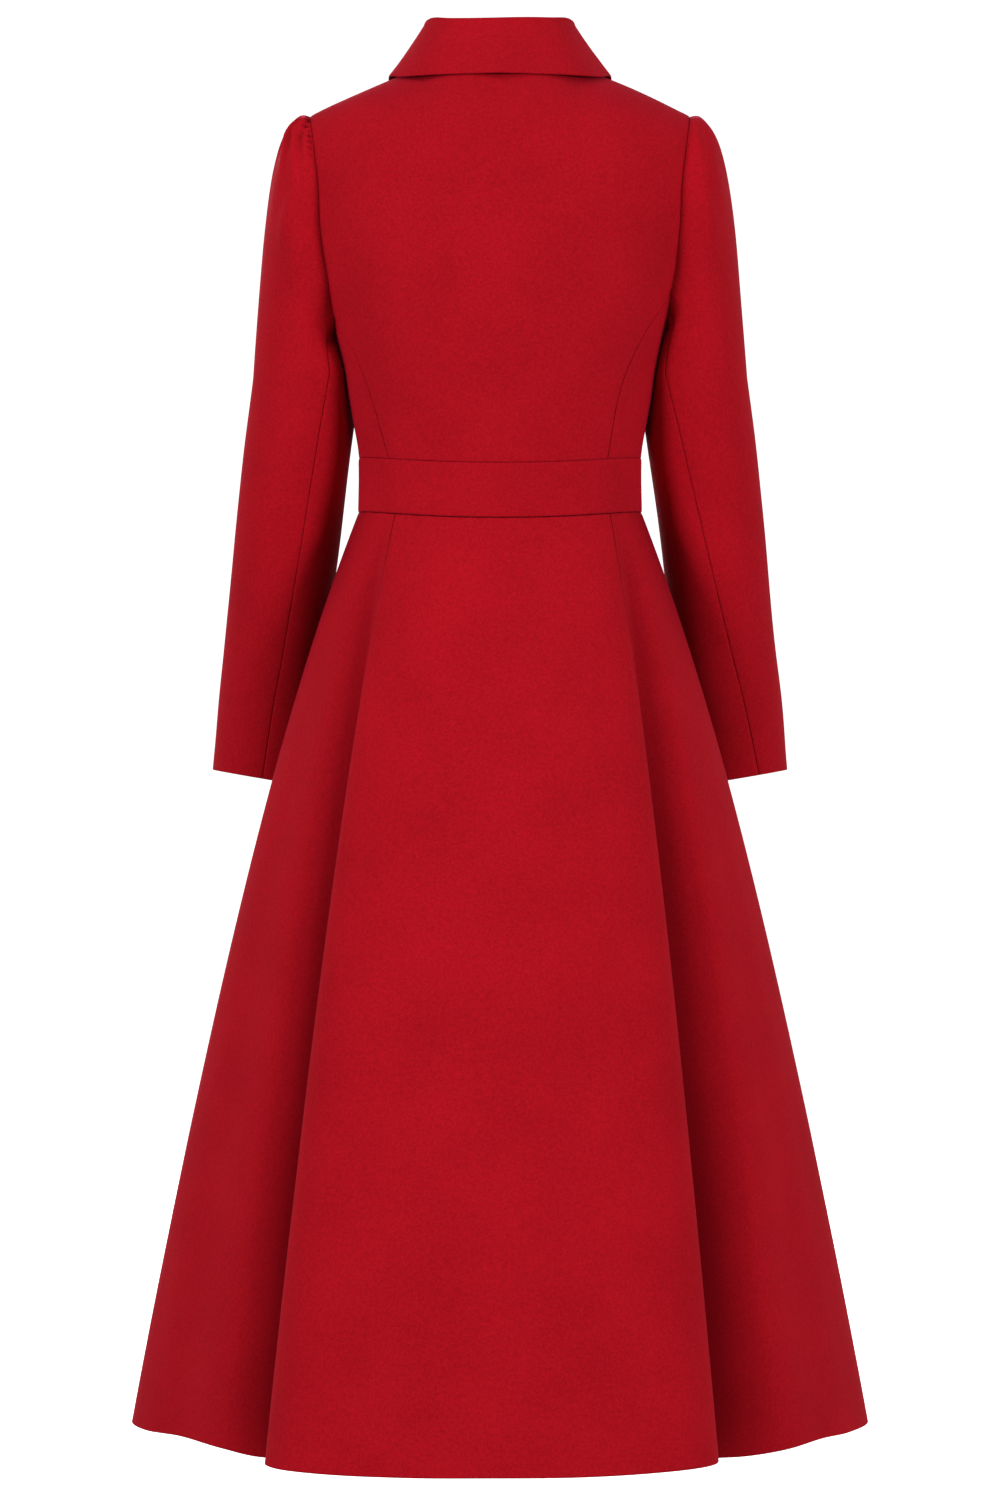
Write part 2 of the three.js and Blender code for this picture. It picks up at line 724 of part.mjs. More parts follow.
function addBodice() {
  addPiece('bodice_back', bodiceBack(), awayFromAxis);
  for (const side of ['left', 'right']) {
    addPiece(`bodice_side_back_${side}`, bodiceSide(side, true), awayFromAxis);
    addPiece(`bodice_side_front_${side}`, bodiceSide(side, false), awayFromAxis);
    addPiece(`bodice_front_${side}`, bodiceFront(side), awayFromAxis);
  }
}

// How far past the middle the closing goes at the waist, in degrees
const waistPast = torsoAngle(closingOverlap, waistTop, true) / degrees;

function addWaistband() {
  addPiece('waistband_back', waistband(-90, 90, bandColumns.back), awayFromAxis);
  for (const side of ['left', 'right']) {
    const s = toSide[side];
    const band = waistband(s * 90, s * (180 + waistPast), bandColumns.front);
    addPiece(`waistband_front_${side}`, band, awayFromAxis);
  }
}

function addSkirt() {
  const { left, right } = skirtSeams;
  const hemPast = Math.atan(closingOverlap / hemLeft[hemLeft.length - 1].radius) / degrees;
  const back = skirtPanel(-right.backWaist, left.backWaist, -right.backHem, left.backHem, skirtColumns.back);
  addPiece('skirt_back', back, awayFromAxis);
  for (const side of ['left', 'right']) {
    const { backWaist, backHem, frontWaist, frontHem } = skirtSeams[side];
    const s = toSide[side];
    const sideBack = skirtPanel(s * backWaist, s * 90, s * backHem, s * 90, skirtColumns.side);
    addPiece(`skirt_side_back_${side}`, sideBack, awayFromAxis);
    const sideFront = skirtPanel(s * 90, s * frontWaist, s * 90, s * frontHem, skirtColumns.side);
    addPiece(`skirt_side_front_${side}`, sideFront, awayFromAxis);
    const waistEnd = s * (180 + waistPast);
    const front = skirtPanel(s * frontWaist, waistEnd, s * frontHem, s * (180 + hemPast), skirtColumns.front);
    addPiece(`skirt_front_${side}`, front, awayFromAxis);
  }
}

function addSleeves() {
  for (const side of ['left', 'right']) {
    addPiece(`sleeve_upper_${side}`, sleevePiece(side, -0.5, 0.5, sleeveColumns.upper), awayFromSleeve(side));
    addPiece(`sleeve_under_${side}`, sleevePiece(side, 0.5, 1.5, sleeveColumns.under), awayFromSleeve(side));
  }
}

// Point of the front closing's outer face at a level
function closingPoint(level) {
  const dipped = waistLevel(waistBottom, Math.PI);
  if (level > dipped) return torsoPoint(Math.PI, level);
  const waist = torsoPoint(Math.PI, dipped);
  const hem = hemPoint(180);
  const share = (level - dipped) / (hemLevel - dipped);
  return new THREE.Vector3(0, mix(waist.y, hem.y, flare(share)), level);
}

function button(index, level) {
  const profile = [
    new THREE.Vector2(0, 0),
    new THREE.Vector2(buttonRadius - buttonRim, 0),
    new THREE.Vector2(buttonRadius, buttonRim),
    new THREE.Vector2(buttonRadius, buttonThickness - buttonRim),
    new THREE.Vector2(buttonRadius - buttonRim, buttonThickness),
    new THREE.Vector2(0, buttonThickness),
  ];
  const mesh = new THREE.Mesh(new THREE.LatheGeometry(profile, buttonSides), buttonPlastic);
  const up = closingPoint(level + buttonRadius);
  const down = closingPoint(level - buttonRadius);
  const along = up.clone().sub(down).normalize();
  const facing = new THREE.Vector3(0, -along.z, along.y).normalize();
  const seat = closingPoint(level).addScaledVector(facing, closingLift + buttonStandoff);
  mesh.position.copy(seat);
  mesh.quaternion.setFromUnitVectors(new THREE.Vector3(0, 1, 0), facing);
  mesh.name = `button_${index + 1}`;
  return mesh;
}

addBodice();
addWaistband();
addSkirt();
addSleeves();
addPiece('collar', collar(), awayFromAxis);

const group = new THREE.Group();
for (const piece of pieces) group.add(pieceMesh(piece));
buttonLevels.forEach((level, index) => group.add(button(index, level)));

export default group;
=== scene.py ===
import math

import bpy
import numpy as np
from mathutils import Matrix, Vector


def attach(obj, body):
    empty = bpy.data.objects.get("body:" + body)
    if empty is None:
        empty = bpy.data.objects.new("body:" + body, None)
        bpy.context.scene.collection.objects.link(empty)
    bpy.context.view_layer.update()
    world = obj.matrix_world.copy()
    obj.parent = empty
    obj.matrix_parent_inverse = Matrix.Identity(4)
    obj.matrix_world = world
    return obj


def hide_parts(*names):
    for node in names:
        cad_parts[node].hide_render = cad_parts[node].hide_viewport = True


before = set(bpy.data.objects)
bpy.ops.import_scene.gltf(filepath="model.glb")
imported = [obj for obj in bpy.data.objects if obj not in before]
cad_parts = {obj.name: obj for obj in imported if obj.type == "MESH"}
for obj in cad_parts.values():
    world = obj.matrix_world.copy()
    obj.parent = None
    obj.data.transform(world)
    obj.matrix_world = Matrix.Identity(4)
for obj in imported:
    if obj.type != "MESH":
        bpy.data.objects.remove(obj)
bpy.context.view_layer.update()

# The coat is drawn in millimetres, as its solids are, and made in metres.
# The front faces -Y and the wearer's left is +X.
MM = 0.001


def table(columns, rows):
    """Rows as dictionaries under their columns' names."""
    return [dict(zip(columns.split(), row)) for row in rows]


# Cloth
WALL = 2.0
SEAM_GAP = 0.3

# Shoulder and neck
SIDE_NECK = 72.0
SHOULDER_TIP = 178.0
SHOULDER_DROP = 46.0
SHOULDER_BOW = 1.5
BACK_NECK_DROP = 8.0
FRONT_NECK_DROP = 75.0
BACK_NAPE_RISE = 40.0
FRONT_NAPE_RISE = -30.0
BACK_ROLL_START = -120.0
FRONT_ROLL_START = -190.0
UNDERARM_LEVEL = -256.0

# Waist and hem
WAIST_TOP = -368.0
WAIST_BOTTOM = -418.0
WAIST_DIP = 10.0
HEM_LEVEL = -1272.0

# Torso sections are rounded rectangles of this power, a little squarer than an ellipse
TORSO_POWER = 2.2

# Torso sections: half the width at the sides, and the depth behind and in front of the side line
TORSO_SECTIONS = table("z half_width back front", [
    (-428, 133, 95, 99),
    (-368, 132.5, 95, 100),
    (-338, 137, 98, 107),
    (-293, 146.6, 104, 122),
    (-256, 154.5, 109, 134),
    (-241, 158.5, 110, 137),
    (-204, 172, 112, 136),
    (-159, 183, 113, 132),
    (-118, 190, 113, 129),
    (-46, 203, 113, 128),
    (40, 213, 113, 128),
])

# Edge of the middle panels: the princess seam from the waist to the armhole, then the armhole
EDGES = {
    "left": table("z x", [
        (-368, 103),
        (-321, 117),
        (-275, 134.4),
        (-241, 153.8),
        (-204, 159.8),
        (-159, 166.7),
        (-118, 168.4),
        (-82, 173),
        (-46, 178),
    ]),
    "right": table("z x", [
        (-368, 99.5),
        (-311, 110),
        (-280, 121.6),
        (-249, 138.5),
        (-216, 158.5),
        (-159, 166.7),
        (-118, 168.4),
        (-82, 173),
        (-46, 178),
    ]),
}
PRINCESS_TOP = {"left": -241.0, "right": -216.0}

# Share of the armhole, from the shoulder tip, at which the princess seam meets it
PRINCESS_ON_ARMHOLE = 0.8

# Plan of the hem: radius from the middle at each angle from centre back, crests and valleys.
# The hem drops a little in the deep valleys.
# The first and last rows lie past the middle, so that the hem runs level across it.
HEM_PLAN = {
    "left": table("angle radius drop", [
        (-17.7, 287, 0),
        (0, 276, 0),
        (17.7, 287, 0),
        (28.6, 298, 0),
        (36, 304, 0),
        (41, 304, 0),
        (45, 294, 0),
        (47.5, 262, 4),
        (50.5, 234, 8),
        (53.5, 243, 8),
        (57, 264, 6),
        (62, 284, 1),
        (73.3, 306, -2),
        (82.2, 333, 0),
        (90, 346, 0),
        (98, 333, 0),
        (107, 306, 0),
        (118, 282, 0),
        (123.5, 262, 2),
        (128, 238, 4),
        (132, 258, 2),
        (135, 290, 0),
        (140, 298, 0),
        (152, 285, 0),
        (180, 265, 0),
        (208, 285, 0),
    ]),
    "right": table("angle radius drop", [
        (-17.9, 282, 0),
        (0, 276, 0),
        (17.9, 282, 0),
        (27.9, 286, 0),
        (36.4, 289, 0),
        (41.6, 286, 0),
        (44.5, 276, 0),
        (47, 248, 4),
        (50, 225, 8),
        (53, 236, 8),
        (57, 264, 6),
        (62.2, 290, 2),
        (72.3, 309.6, -1),
        (79.8, 328, 0),
        (90, 346, 0),
        (99, 330, 0),
        (109, 303, 0),
        (119, 280, 0),
        (124.5, 260, 2),
        (129, 236, 4),
        (133, 258, 2),
        (136, 286, 0),
        (142, 294, 0),
        (153, 284, 0),
        (180, 265, 0),
        (207, 284, 0),
    ]),
}

# Seams of the skirt panels, as angles from centre back on the waist section and on the hem plan
SKIRT_SEAMS = {
    "left": {"back_waist": 45.0, "back_hem": 45.5, "front_waist": 135.0, "front_hem": 134.5},
    "right": {"back_waist": 48.2, "back_hem": 44.5, "front_waist": 133.0, "front_hem": 135.5},
}

# The skirt bows out on its way down to the hem: all along, and more near its top
FLARE_BOW = 0.27
FLARE_SPRING = 0.3

# Front closing: the right front lies over the left one, fully lifted a step outside the overlap
CLOSING_OVERLAP = 20.0
CLOSING_LIFT = 3.2
CLOSING_BLEND = 60.0
CLOSING_STEP = 4.0

# Sleeve sections: centre, half width across and front to back
SLEEVE_SECTIONS = table("z x y across deep", [
    (-668, 233.5, -117, 45.5, 45),
    (-604, 225.5, -95, 47, 46),
    (-548, 216.5, -73, 48, 48),
    (-476, 206.5, -49, 49, 50),
    (-410, 198, -32, 50, 52),
    (-350, 190.5, -20, 51, 55),
    (-290, 182, -12, 51, 57),
])
SLEEVE_TOP = -290.0
SLEEVE_CUFF = -668.0
CUFF_RISE = 0.17

# Sleeve head: how far it reaches out of the armhole before it falls, far less under the arm,
# how it leans to front, back and down there, and how it comes into the top of the arm
HEAD_REACH = 36.0
HEAD_REACH_LOSS = 0.85
HEAD_LEAN = 0.3
HEAD_SINK = 3.0
HEAD_LIFT = 0.78
HEAD_TUCK = {"outside": 14.0, "underarm": 6.0}
UNDERARM_TURN = {"start": 0.2, "end": 0.8}

# Space kept off the torso, and how far from the armhole it is reached. It starts to be kept at
# the first of these heights above the underarm, and is kept in full below the second.
SLEEVE_CLEARANCE = 2.0
CLEARANCE_RUN = 20.0
PRESSED = {"start": 26.0, "full": 10.0}

# A sleeve's two seams: angles from its outside, and their places on the armhole and the ring
HIND_SEAM = {
    "left": {"top": 118.0, "cuff": 97.0},
    "right": {"top": 124.0, "cuff": 70.0},
}
FORE_SEAM = 108.0
SEAM_ON_ARMHOLE = 0.85
SEAM_ON_RING = 0.5

# Soft gathers in the sleeve heads: angle round the sleeve from its outside, height and half width
GATHERS = {
    "left": table("angle height half_width", [
        (22, 3, 9),
        (46, 4, 9),
        (70, 3, 9),
        (-30, 3, 10),
    ]),
    "right": table("angle height half_width", [
        (30, 2, 12),
        (58, 2.5, 11),
        (-32, 2, 12),
    ]),
}

# Gathers die away over the head at this pace, and stand out and up by shares of their height
GATHER_PACE = 1.6
GATHER_OUT = 0.8
GATHER_UP = 0.5

# Extra columns of the sleeve heads where the cloth is gathered, as places round the sleeve
GATHERED_PLACES = {"left": (0.015, 0.17, 96), "right": (0.03, 0.2, 20)}

# The sleeve head sinks beside the armhole seam: how deep, and how far from it. Then it puffs up.
HEAD_GROOVE_DEPTH = 1.2
HEAD_GROOVE_WIDTH = 5.0
HEAD_PUFF = 2.6
HEAD_PUFF_AT = 8.0
HEAD_PUFF_WIDTH = 9.0

# Soft ridges and troughs of the back and the front: points (x, z) that each runs through, its
# half width and its height, where negative heights are troughs. Those that fade come up close to
# their start and die away slowly. The others swell and fade evenly.
CREASE = "through width height fade"
BACK_CREASES = {
    "sleeve_upper_left": table(CREASE, [
        ([(180, -50), (191, -60), (194, -120)], 2.2, 4.4, True),
        ([(188, -49), (199, -63), (205, -114)], 2.0, 3.8, True),
        ([(178, -55), (186, -68), (186, -110)], 3.0, -5.0, True),
        ([(184, -50), (195.5, -64), (200, -110)], 2.4, -4.6, True),
        ([(194, -50), (204, -66), (211, -100)], 2.6, -3.4, True),
        ([(178, -90), (184, -150)], 6.0, -1.0, False),
        ([(168, -150), (176, -185), (192, -225)], 10.0, 0.9, False),
        ([(160, -245), (176, -275), (208, -305)], 10.0, 0.8, False),
    ]),
    "sleeve_upper_right": table(CREASE, [
        ([(-183, -55), (-190, -66), (-192, -104)], 4.5, -1.6, True),
        ([(-190, -52), (-199, -68), (-204, -100)], 4.5, 1.4, True),
        ([(-176, -90), (-182, -150)], 6.0, -0.8, False),
        ([(-168, -160), (-178, -198), (-194, -240)], 10.0, 0.8, False),
    ]),
    "skirt_back": table(CREASE, [
        ([(62, -440), (70, -520), (78, -600)], 16.0, 1.2, False),
        ([(-58, -436), (-70, -540), (-74, -640)], 18.0, -1.0, False),
        ([(20, -700), (34, -900), (60, -1180)], 30.0, 1.6, False),
        ([(-46, -800), (-66, -1000), (-78, -1240)], 28.0, -1.4, False),
    ]),
}
FRONT_CREASES = {
    "sleeve_upper_left": table(CREASE, [
        ([(184, -58), (193, -70), (196, -108)], 4.0, 2.0, True),
        ([(179, -64), (185, -78), (187, -110)], 3.6, -1.8, True),
        ([(170, -160), (182, -200), (196, -250)], 9.0, 0.9, False),
        ([(172, -330), (196, -352), (222, -358)], 8.0, -1.1, False),
        ([(180, -356), (202, -372), (230, -372)], 9.0, 0.9, False),
    ]),
    "sleeve_upper_right": table(CREASE, [
        ([(-184, -60), (-192, -74), (-195, -104)], 4.5, 1.6, True),
        ([(-178, -66), (-184, -80), (-186, -108)], 4.0, -1.4, True),
        ([(-172, -340), (-198, -360), (-226, -362)], 9.0, -1.0, False),
        ([(-182, -368), (-206, -384), (-232, -380)], 9.0, 0.8, False),
    ]),
    "bodice_front_left": table(CREASE, [
        ([(150, -215), (120, -240), (88, -262)], 11.0, -1.0, False),
        ([(128, -330), (98, -338), (64, -336)], 8.0, 0.8, False),
    ]),
    "bodice_front_right": table(CREASE, [
        ([(-152, -205), (-122, -236), (-86, -250)], 12.0, -0.9, False),
        ([(-122, -322), (-96, -334), (-58, -342)], 9.0, 0.9, False),
    ]),
    "skirt_front_left": table(CREASE, [
        ([(60, -450), (78, -560), (84, -680)], 16.0, -1.2, False),
        ([(70, -800), (92, -980), (108, -1200)], 24.0, 1.5, False),
    ]),
    "skirt_front_right": table(CREASE, [
        ([(-64, -446), (-80, -580), (-90, -700)], 18.0, 1.2, False),
        ([(-52, -760), (-74, -960), (-96, -1230)], 26.0, -1.4, False),
    ]),
}

# Shares of a fading crease between which it comes up, and how it dies away. Each side shows its
# own creases, as its cloth turns to face that way.
CREASE_FADE = {"start": -0.1, "full": 0.25, "power": 0.8}
CREASE_FACING = {"start": 0.02, "full": 0.3}

# Short dents between the puckers of the left sleeve's gathered seam: level, length and depth
PUCKERS = table("level length depth", [
    (-54, 9, 2.4),
    (-60, 11, 3.4),
    (-66, 9, 3.2),
    (-71.5, 10, 3.4),
    (-77.5, 8, 2.8),
    (-84, 8, 2.2),
    (-92, 7, 1.2),
])
PUCKER_WIDTH = 1.6
PUCKER_SLOPE = 0.35
PUCKER_START = 1.5

# Collar sections on the wearer's left, from centre back to the front end: roll line and edge
COLLAR_SECTIONS = table("around roll_x roll_y roll_z edge_x edge_y edge_z", [
    (0, 0, 64, 35, 0, 96, -21),
    (40, 45, 50, 38, 66, 75, -19.5),
    (65, 63.5, 25, 42.5, 92, 46, -16),
    (90, 67.5, -6, 39, 105, 6, -10),
    (125, 58, -56, 14, 98, -64, -28),
    (155, 31, -82, -22, 72, -110, -76),
    (172, 9, -93, -34, 40, -121, -106),
])
COLLAR_END = 172.0
COLLAR_ROLL_RADIUS = 4.0
COLLAR_SEAM_RISE = 0.9
COLLAR_SEAM_INSIDE = 1.8

# Buttons down the closing
BUTTON_LEVELS = [-105.0, -201.0, -297.0, -393.0, -500.0, -610.0]
BUTTON_RADIUS = 12.0
BUTTON_STANDOFF = 0.5
BUTTON_DISH = 2.3
BUTTON_SIDES = 48
BUTTON_RINGS = table("radius height", [
    (3.4, 2.4),
    (6.5, 2.5),
    (8.6, 3.2),
    (10.0, 3.9),
    (11.2, 3.8),
    (12.0, 3.0),
    (12.0, 1.2),
    (11.0, 0.2),
    (4.0, 0.0),
])

# Thread: worked round each buttonhole, which runs back from its button, and through each button.
# The closing bends away from its middle at this radius.
HOLE_START = 2.0
HOLE_END = -25.0
HOLE_HALF_HEIGHT = 1.3
HOLE_STITCHES = 44
HOLE_POWER = 0.5
CLOSING_RADIUS = 270.0
STITCH_RADIUS = {"low": 0.5, "high": 0.85}
SHANK_HALF_LENGTH = 2.6
SHANK_SPACING = 1.5
SHANK_RADIUS = 0.45
SHANK_POINTS = 20
SHANK_HEIGHT = 2.9
SHANK_DIP = 0.9
THREAD_SIDES = 6

# Finish of the edges: a seam's two rims round off into a sharp furrow inside a soft dip
SEAM_RADIUS = 1.0
SEAM_DIP_WIDTH = 5.0
SEAM_DIP_DEPTH = 0.35
SEAM_UNEVEN = table("share pace start", [
    (0.35, 0.31, 0.0),
    (0.25, 0.83, 1.3),
])
FREE_EDGE_RADIUS = 0.95
BAND_RISE = 0.6

# Distances from an edge at which a grid has its extra lines
NEAR_EDGE = (0.12, 0.35, 0.7, 1.2, 2.2, 4.0)

# Grid lines besides those: how many, or for panels and sleeves how far apart
LINES = {
    "bodice_below": 30,
    "bodice_over": 52,
    "neck": 18,
    "shoulder": 20,
    "overlap": 6,
    "side_up": 24,
    "side_across": 12,
    "band_up": 8,
    "skirt_down": 110,
    "head": 52,
    "arm": 66,
    "collar_round": 121,
    "stand": 8,
    "roll": 9,
    "fall": 12,
}
PANEL_SPACING = 5
SLEEVE_SPACING = 4

# About how far the lines run across each part
LENGTHS = {
    "bodice_below": 138.0,
    "bodice_side": 60.0,
    "waistband_back": 390,
    "waistband_front": 215,
    "skirt_back": 450,
    "skirt_side_back": 240,
    "skirt_side_front": 240,
    "skirt_front": 250,
    "sleeve_upper": 200,
    "sleeve_under": 130,
    "stand": 44.0,
    "fall": 64.0,
}

# Share of a middle panel's height from which its rows close up over the shoulder, and the angle
# by which its columns close up towards the neck point
SHOULDER_TURN = 0.43
NECK_TURN = 1.35

# Rows of a sleeve head, as shares of its length: the first beside the armhole, and the next
HEAD_FIRST_ROWS = (0.0, 0.004, 0.012)
HEAD_NEXT_ROW = 0.025
HEAD_ROW_POWER = 1.15

# The sleeve's seam allowance tucks in under the bodice by this much, round a corner
TUCK_DEPTH = 2.4
TUCK_LENGTH = 4.0
TUCK_CORNER = 0.4
TUCK_LEAST_TURN = 0.2

# Painted shade: the wool's colour is darkened towards a dark red where other cloth lies near, as in the
# hollows of folded cloth and along seams. These set how far round a point it looks, and how strongly it
# darkens.
BODY_PAINTED_FOLD_SHADE = {"reach": 0.008, "shade": 0.9}
SKIRT_PAINTED_FOLD_SHADE = {"reach": 0.08, "shade": 1.75}

# Slow unevenness of the cloth: how far it waves, how far from an edge it is full, and its paces
WAVE_HEIGHT = 0.45
WAVE_FREE_EDGE = 25.0
WAVES = table("x y z start", [
    (0.041, 0.023, 0.017, 0.4),
    (-0.027, 0.035, 0.029, 1.9),
    (0.013, -0.049, 0.043, 4.1),
    (0.061, 0.011, -0.021, 2.7),
])

# Camera, matched to the photograph: its distance from the side seams, its level and its lens,
# and how far it sees
CAMERA_DISTANCE = 3.5
CAMERA_LEVEL = -0.641
PHOTO_HEIGHT_AT_SEAMS = 1.41
SENSOR = 36.0
CAMERA_REACH = 100

# Studio: a pale floor that sweeps up into a round wall and throws no light on the coat
FLOOR_LEVEL = -1.46
FLOOR_RADIUS = 9.0
FLOOR_BEND = 4.0
FLOOR_WALL = 12.0
FLOOR_GLOW = 0.85
FLOOR_MIDDLE = 0.01
FLOOR_SIDES = 96
FLOOR_STEPS = 13

# Lights, which all look at the middle of the coat, and the light from all round
WORLD_LIGHT = 0.22
LIGHT_TARGET = (0, 0, -0.6)
LIGHTS = table("name place size power", [
    ("key_left", (2.9, 2.8, 0.1), 1.0, 90),
    ("key_right", (-2.9, 2.8, 0.1), 1.0, 98),
    ("top", (1.3, 0.9, 1.9), 0.8, 14),
    ("front", (0.6, -3.6, 0.6), 2.0, 80),
])

SIDES = ("left", "right")
TO_SIDE = {"left": 1.0, "right": -1.0}


def mix(a, b, t):
    return a + (b - a) * t


def ease(start, end, at):
    t = np.clip((at - start) / (end - start), 0, 1)
    return t * t * (3 - 2 * t)


def curve(rows, key, name, at):
    """Value of one column of a table at places between its rows, as a smooth curve."""
    keys = np.array([row[key] for row in rows], float)
    values = np.array([row[name] for row in rows], float)
    last = len(keys) - 1
    before = np.maximum(np.arange(last + 1) - 1, 0)
    after = np.minimum(np.arange(last + 1) + 1, last)
    slopes = (values[after] - values[before]) / (keys[after] - keys[before])
    at = np.asarray(at, float)
    i = np.clip(np.searchsorted(keys, at) - 1, 0, last - 1)
    span = keys[i + 1] - keys[i]
    t = np.clip((at - keys[i]) / span, 0, 1)
    start = (1 + 2 * t) * (1 - t) ** 2 * values[i] + t * (1 - t) ** 2 * span * slopes[i]
    end = t * t * (3 - 2 * t) * values[i + 1] + t * t * (t - 1) * span * slopes[i + 1]
    return start + end


def unit(vectors):
    length = np.linalg.norm(vectors, axis=-1, keepdims=True)
    return vectors / np.maximum(length, 1e-9)


def rounded(value, power):
    """A sine or a cosine raised to a power with its sign kept, for a rounded rectangle."""
    return np.sign(value) * np.abs(value) ** power


def points(x, y, z):
    return np.stack(np.broadcast_arrays(x, y, z), axis=-1).astype(float)


def ridge(x, nape_rise):
    """Height of the shoulder ridge, which goes on over the neck hole to shape the nape."""
    out = np.abs(x)
    along = (out - SIDE_NECK) / (SHOULDER_TIP - SIDE_NECK)
    shoulder = -SHOULDER_DROP * along + 4 * SHOULDER_BOW * along * np.maximum(0, 1 - along)
    return np.where(out > SIDE_NECK, shoulder, nape_rise * (1 - (out / SIDE_NECK) ** 2))


def roll(x, z, behind):
    """How far the cloth has rolled over: 1 below the roll, 0 on the shoulder ridge."""
    start = np.where(behind, BACK_ROLL_START, FRONT_ROLL_START)
    top = np.where(behind, ridge(x, BACK_NAPE_RISE), ridge(x, FRONT_NAPE_RISE))
    up = np.clip((z - start) / (top - start), 0, 1)
    return np.sqrt(1 - up * up)


def torso_angle(x, z, behind):
    """Angle on the torso section of a point this far to the side, on the back or the front."""
    half_width = curve(TORSO_SECTIONS, "z", "half_width", z)
    share = np.minimum(1, (np.abs(x) / half_width) ** (TORSO_POWER / 2))
    angle = np.arcsin(share) * np.sign(x)
    return angle if behind else math.pi - angle


def torso_depth(behind, z):
    """Depth of the torso section from the side line, on the back or the front."""
    back, front = (curve(TORSO_SECTIONS, "z", name, z) for name in ("back", "front"))
    return np.where(behind, back, front)


def torso_point(angle, z):
    """Point of the torso at an angle from centre back towards the wearer's left."""
    behind = np.cos(angle) >= 0
    half_width = curve(TORSO_SECTIONS, "z", "half_width", z)
    x = half_width * rounded(np.sin(angle), 2 / TORSO_POWER)
    y = torso_depth(behind, z) * rounded(np.cos(angle), 2 / TORSO_POWER)
    return points(x, y * roll(x, z, behind), z)


def waist_level(level, angle):
    """Level of a waist seam, which dips at the middle of the back and the front."""
    return level - WAIST_DIP * np.cos(angle) ** 2


def top_level(x, behind):
    """Top edge of a middle panel: the neckline, then the shoulder."""
    out = np.abs(x)
    drop = np.maximum(0, 1 - (out / SIDE_NECK) ** 2)
    neck = -BACK_NECK_DROP * drop if behind else -FRONT_NECK_DROP * drop ** 0.6
    return np.where(out >= SIDE_NECK, ridge(x, 0), neck)


def stops(count, length, start=True, end=True):
    """Shares of a length, even along its middle and close together at its finished ends."""
    near = [0.0] + [value / length for value in NEAR_EDGE]
    first = near if start else [0.0]
    last = near if end else [0.0]
    middle = np.linspace(first[-1], 1 - last[-1], count + 1)[1:-1]
    return np.concatenate([first, middle, [1 - value for value in reversed(last)]])


def middle_columns(side, shares, rises, behind, past=0.0):
    """Columns of a middle bodice panel, from the waist to the neck or the shoulder."""
    level = mix(WAIST_TOP, -SHOULDER_DROP, rises)[None, :]
    share = np.asarray(shares, float)[:, None]
    gone = np.broadcast_to(np.asarray(past, float).reshape(-1, 1), share.shape)
    edge = curve(EDGES[side], "z", "x", level)
    x = (edge * share - gone) * TO_SIDE[side]
    top = top_level(SHOULDER_TIP * share - gone, behind)
    bottom_angle = torso_angle(x, WAIST_TOP, behind)
    z = mix(waist_level(WAIST_TOP, bottom_angle), top, rises[None, :])
    return torso_point(torso_angle(x, z, behind), z)


def bodice_rises():
    """Rows of the middle panels, closer together over the shoulder."""
    lower = stops(LINES["bodice_below"], LENGTHS["bodice_below"], end=False) * SHOULDER_TURN
    closing = np.sin(np.linspace(0, 1, LINES["bodice_over"]) * math.pi / 2)
    return np.concatenate([lower, mix(SHOULDER_TURN, 1, closing)[1:]])


def column_shares():
    """Where a middle panel's columns stand, with one at the side neck point."""
    neck = SIDE_NECK / SHOULDER_TIP
    closing = np.sin(np.linspace(0, NECK_TURN, LINES["neck"])[:-1])
    inner = neck * closing / math.sin(NECK_TURN)
    outer = mix(neck, 1, stops(LINES["shoulder"], SHOULDER_TIP - SIDE_NECK, start=False))
    return np.concatenate([inner, outer])


def bodice_back():
    shares, rises = column_shares(), bodice_rises()
    right = middle_columns("right", shares[1:], rises, True)[::-1]
    left = middle_columns("left", shares, rises, True)
    return np.concatenate([right, left])


def bodice_front(side):
    rises = bodice_rises()
    past = CLOSING_OVERLAP * (1 - stops(LINES["overlap"], CLOSING_OVERLAP, end=False)[:-1])
    over = middle_columns(side, np.zeros(len(past)), rises, False, past)
    return np.concatenate([over, middle_columns(side, column_shares(), rises, False)])


def bodice_side(side, behind):
    """Side panel from the princess seam to the side seam under the arm."""
    top = PRINCESS_TOP[side]
    height = top - WAIST_TOP
    up = stops(LINES["side_up"], height)
    seam = middle_columns(side, [1.0], up * height / (-SHOULDER_DROP - WAIST_TOP), behind)[0]
    share = stops(LINES["side_across"], LENGTHS["bodice_side"])[:, None]
    seam_angle = torso_angle(seam[:, 0], seam[:, 2], behind)[None, :]
    side_angle = TO_SIDE[side] * math.pi / 2
    if not behind and side == "right":
        side_angle += 2 * math.pi
    angle = mix(seam_angle, side_angle, share)
    bottom = waist_level(WAIST_TOP, angle[:, :1])
    drop = (top - UNDERARM_LEVEL) * np.sin(share * math.pi / 2)
    drop = drop * (seam[-1, 2] - WAIST_TOP) / height
    z = mix(bottom, seam[-1, 2] - drop, (seam[:, 2] - seam[0, 2]) / (seam[-1, 2] - seam[0, 2]))
    return torso_point(angle, z)


def waistband(start, end, length):
    angle = np.radians(mix(start, end, stops(length // PANEL_SPACING, length)))[:, None]
    up = stops(LINES["band_up"], WAIST_TOP - WAIST_BOTTOM)
    level = mix(WAIST_BOTTOM, WAIST_TOP, up)[None, :]
    return torso_point(angle, waist_level(level, angle))


def flare(share):
    """Share of the flare reached at a share of the skirt's length."""
    return share + share * (1 - share) * (FLARE_BOW + FLARE_SPRING * (1 - share) ** 2)


def hem_value(name, angle):
    """One column of the hem plan at angles from centre back, to the left and to the right."""
    folded = 180 - np.abs(180 - np.abs(angle))
    left, right = (curve(HEM_PLAN[side], "angle", name, folded) for side in SIDES)
    return np.where(angle >= 0, left, right)


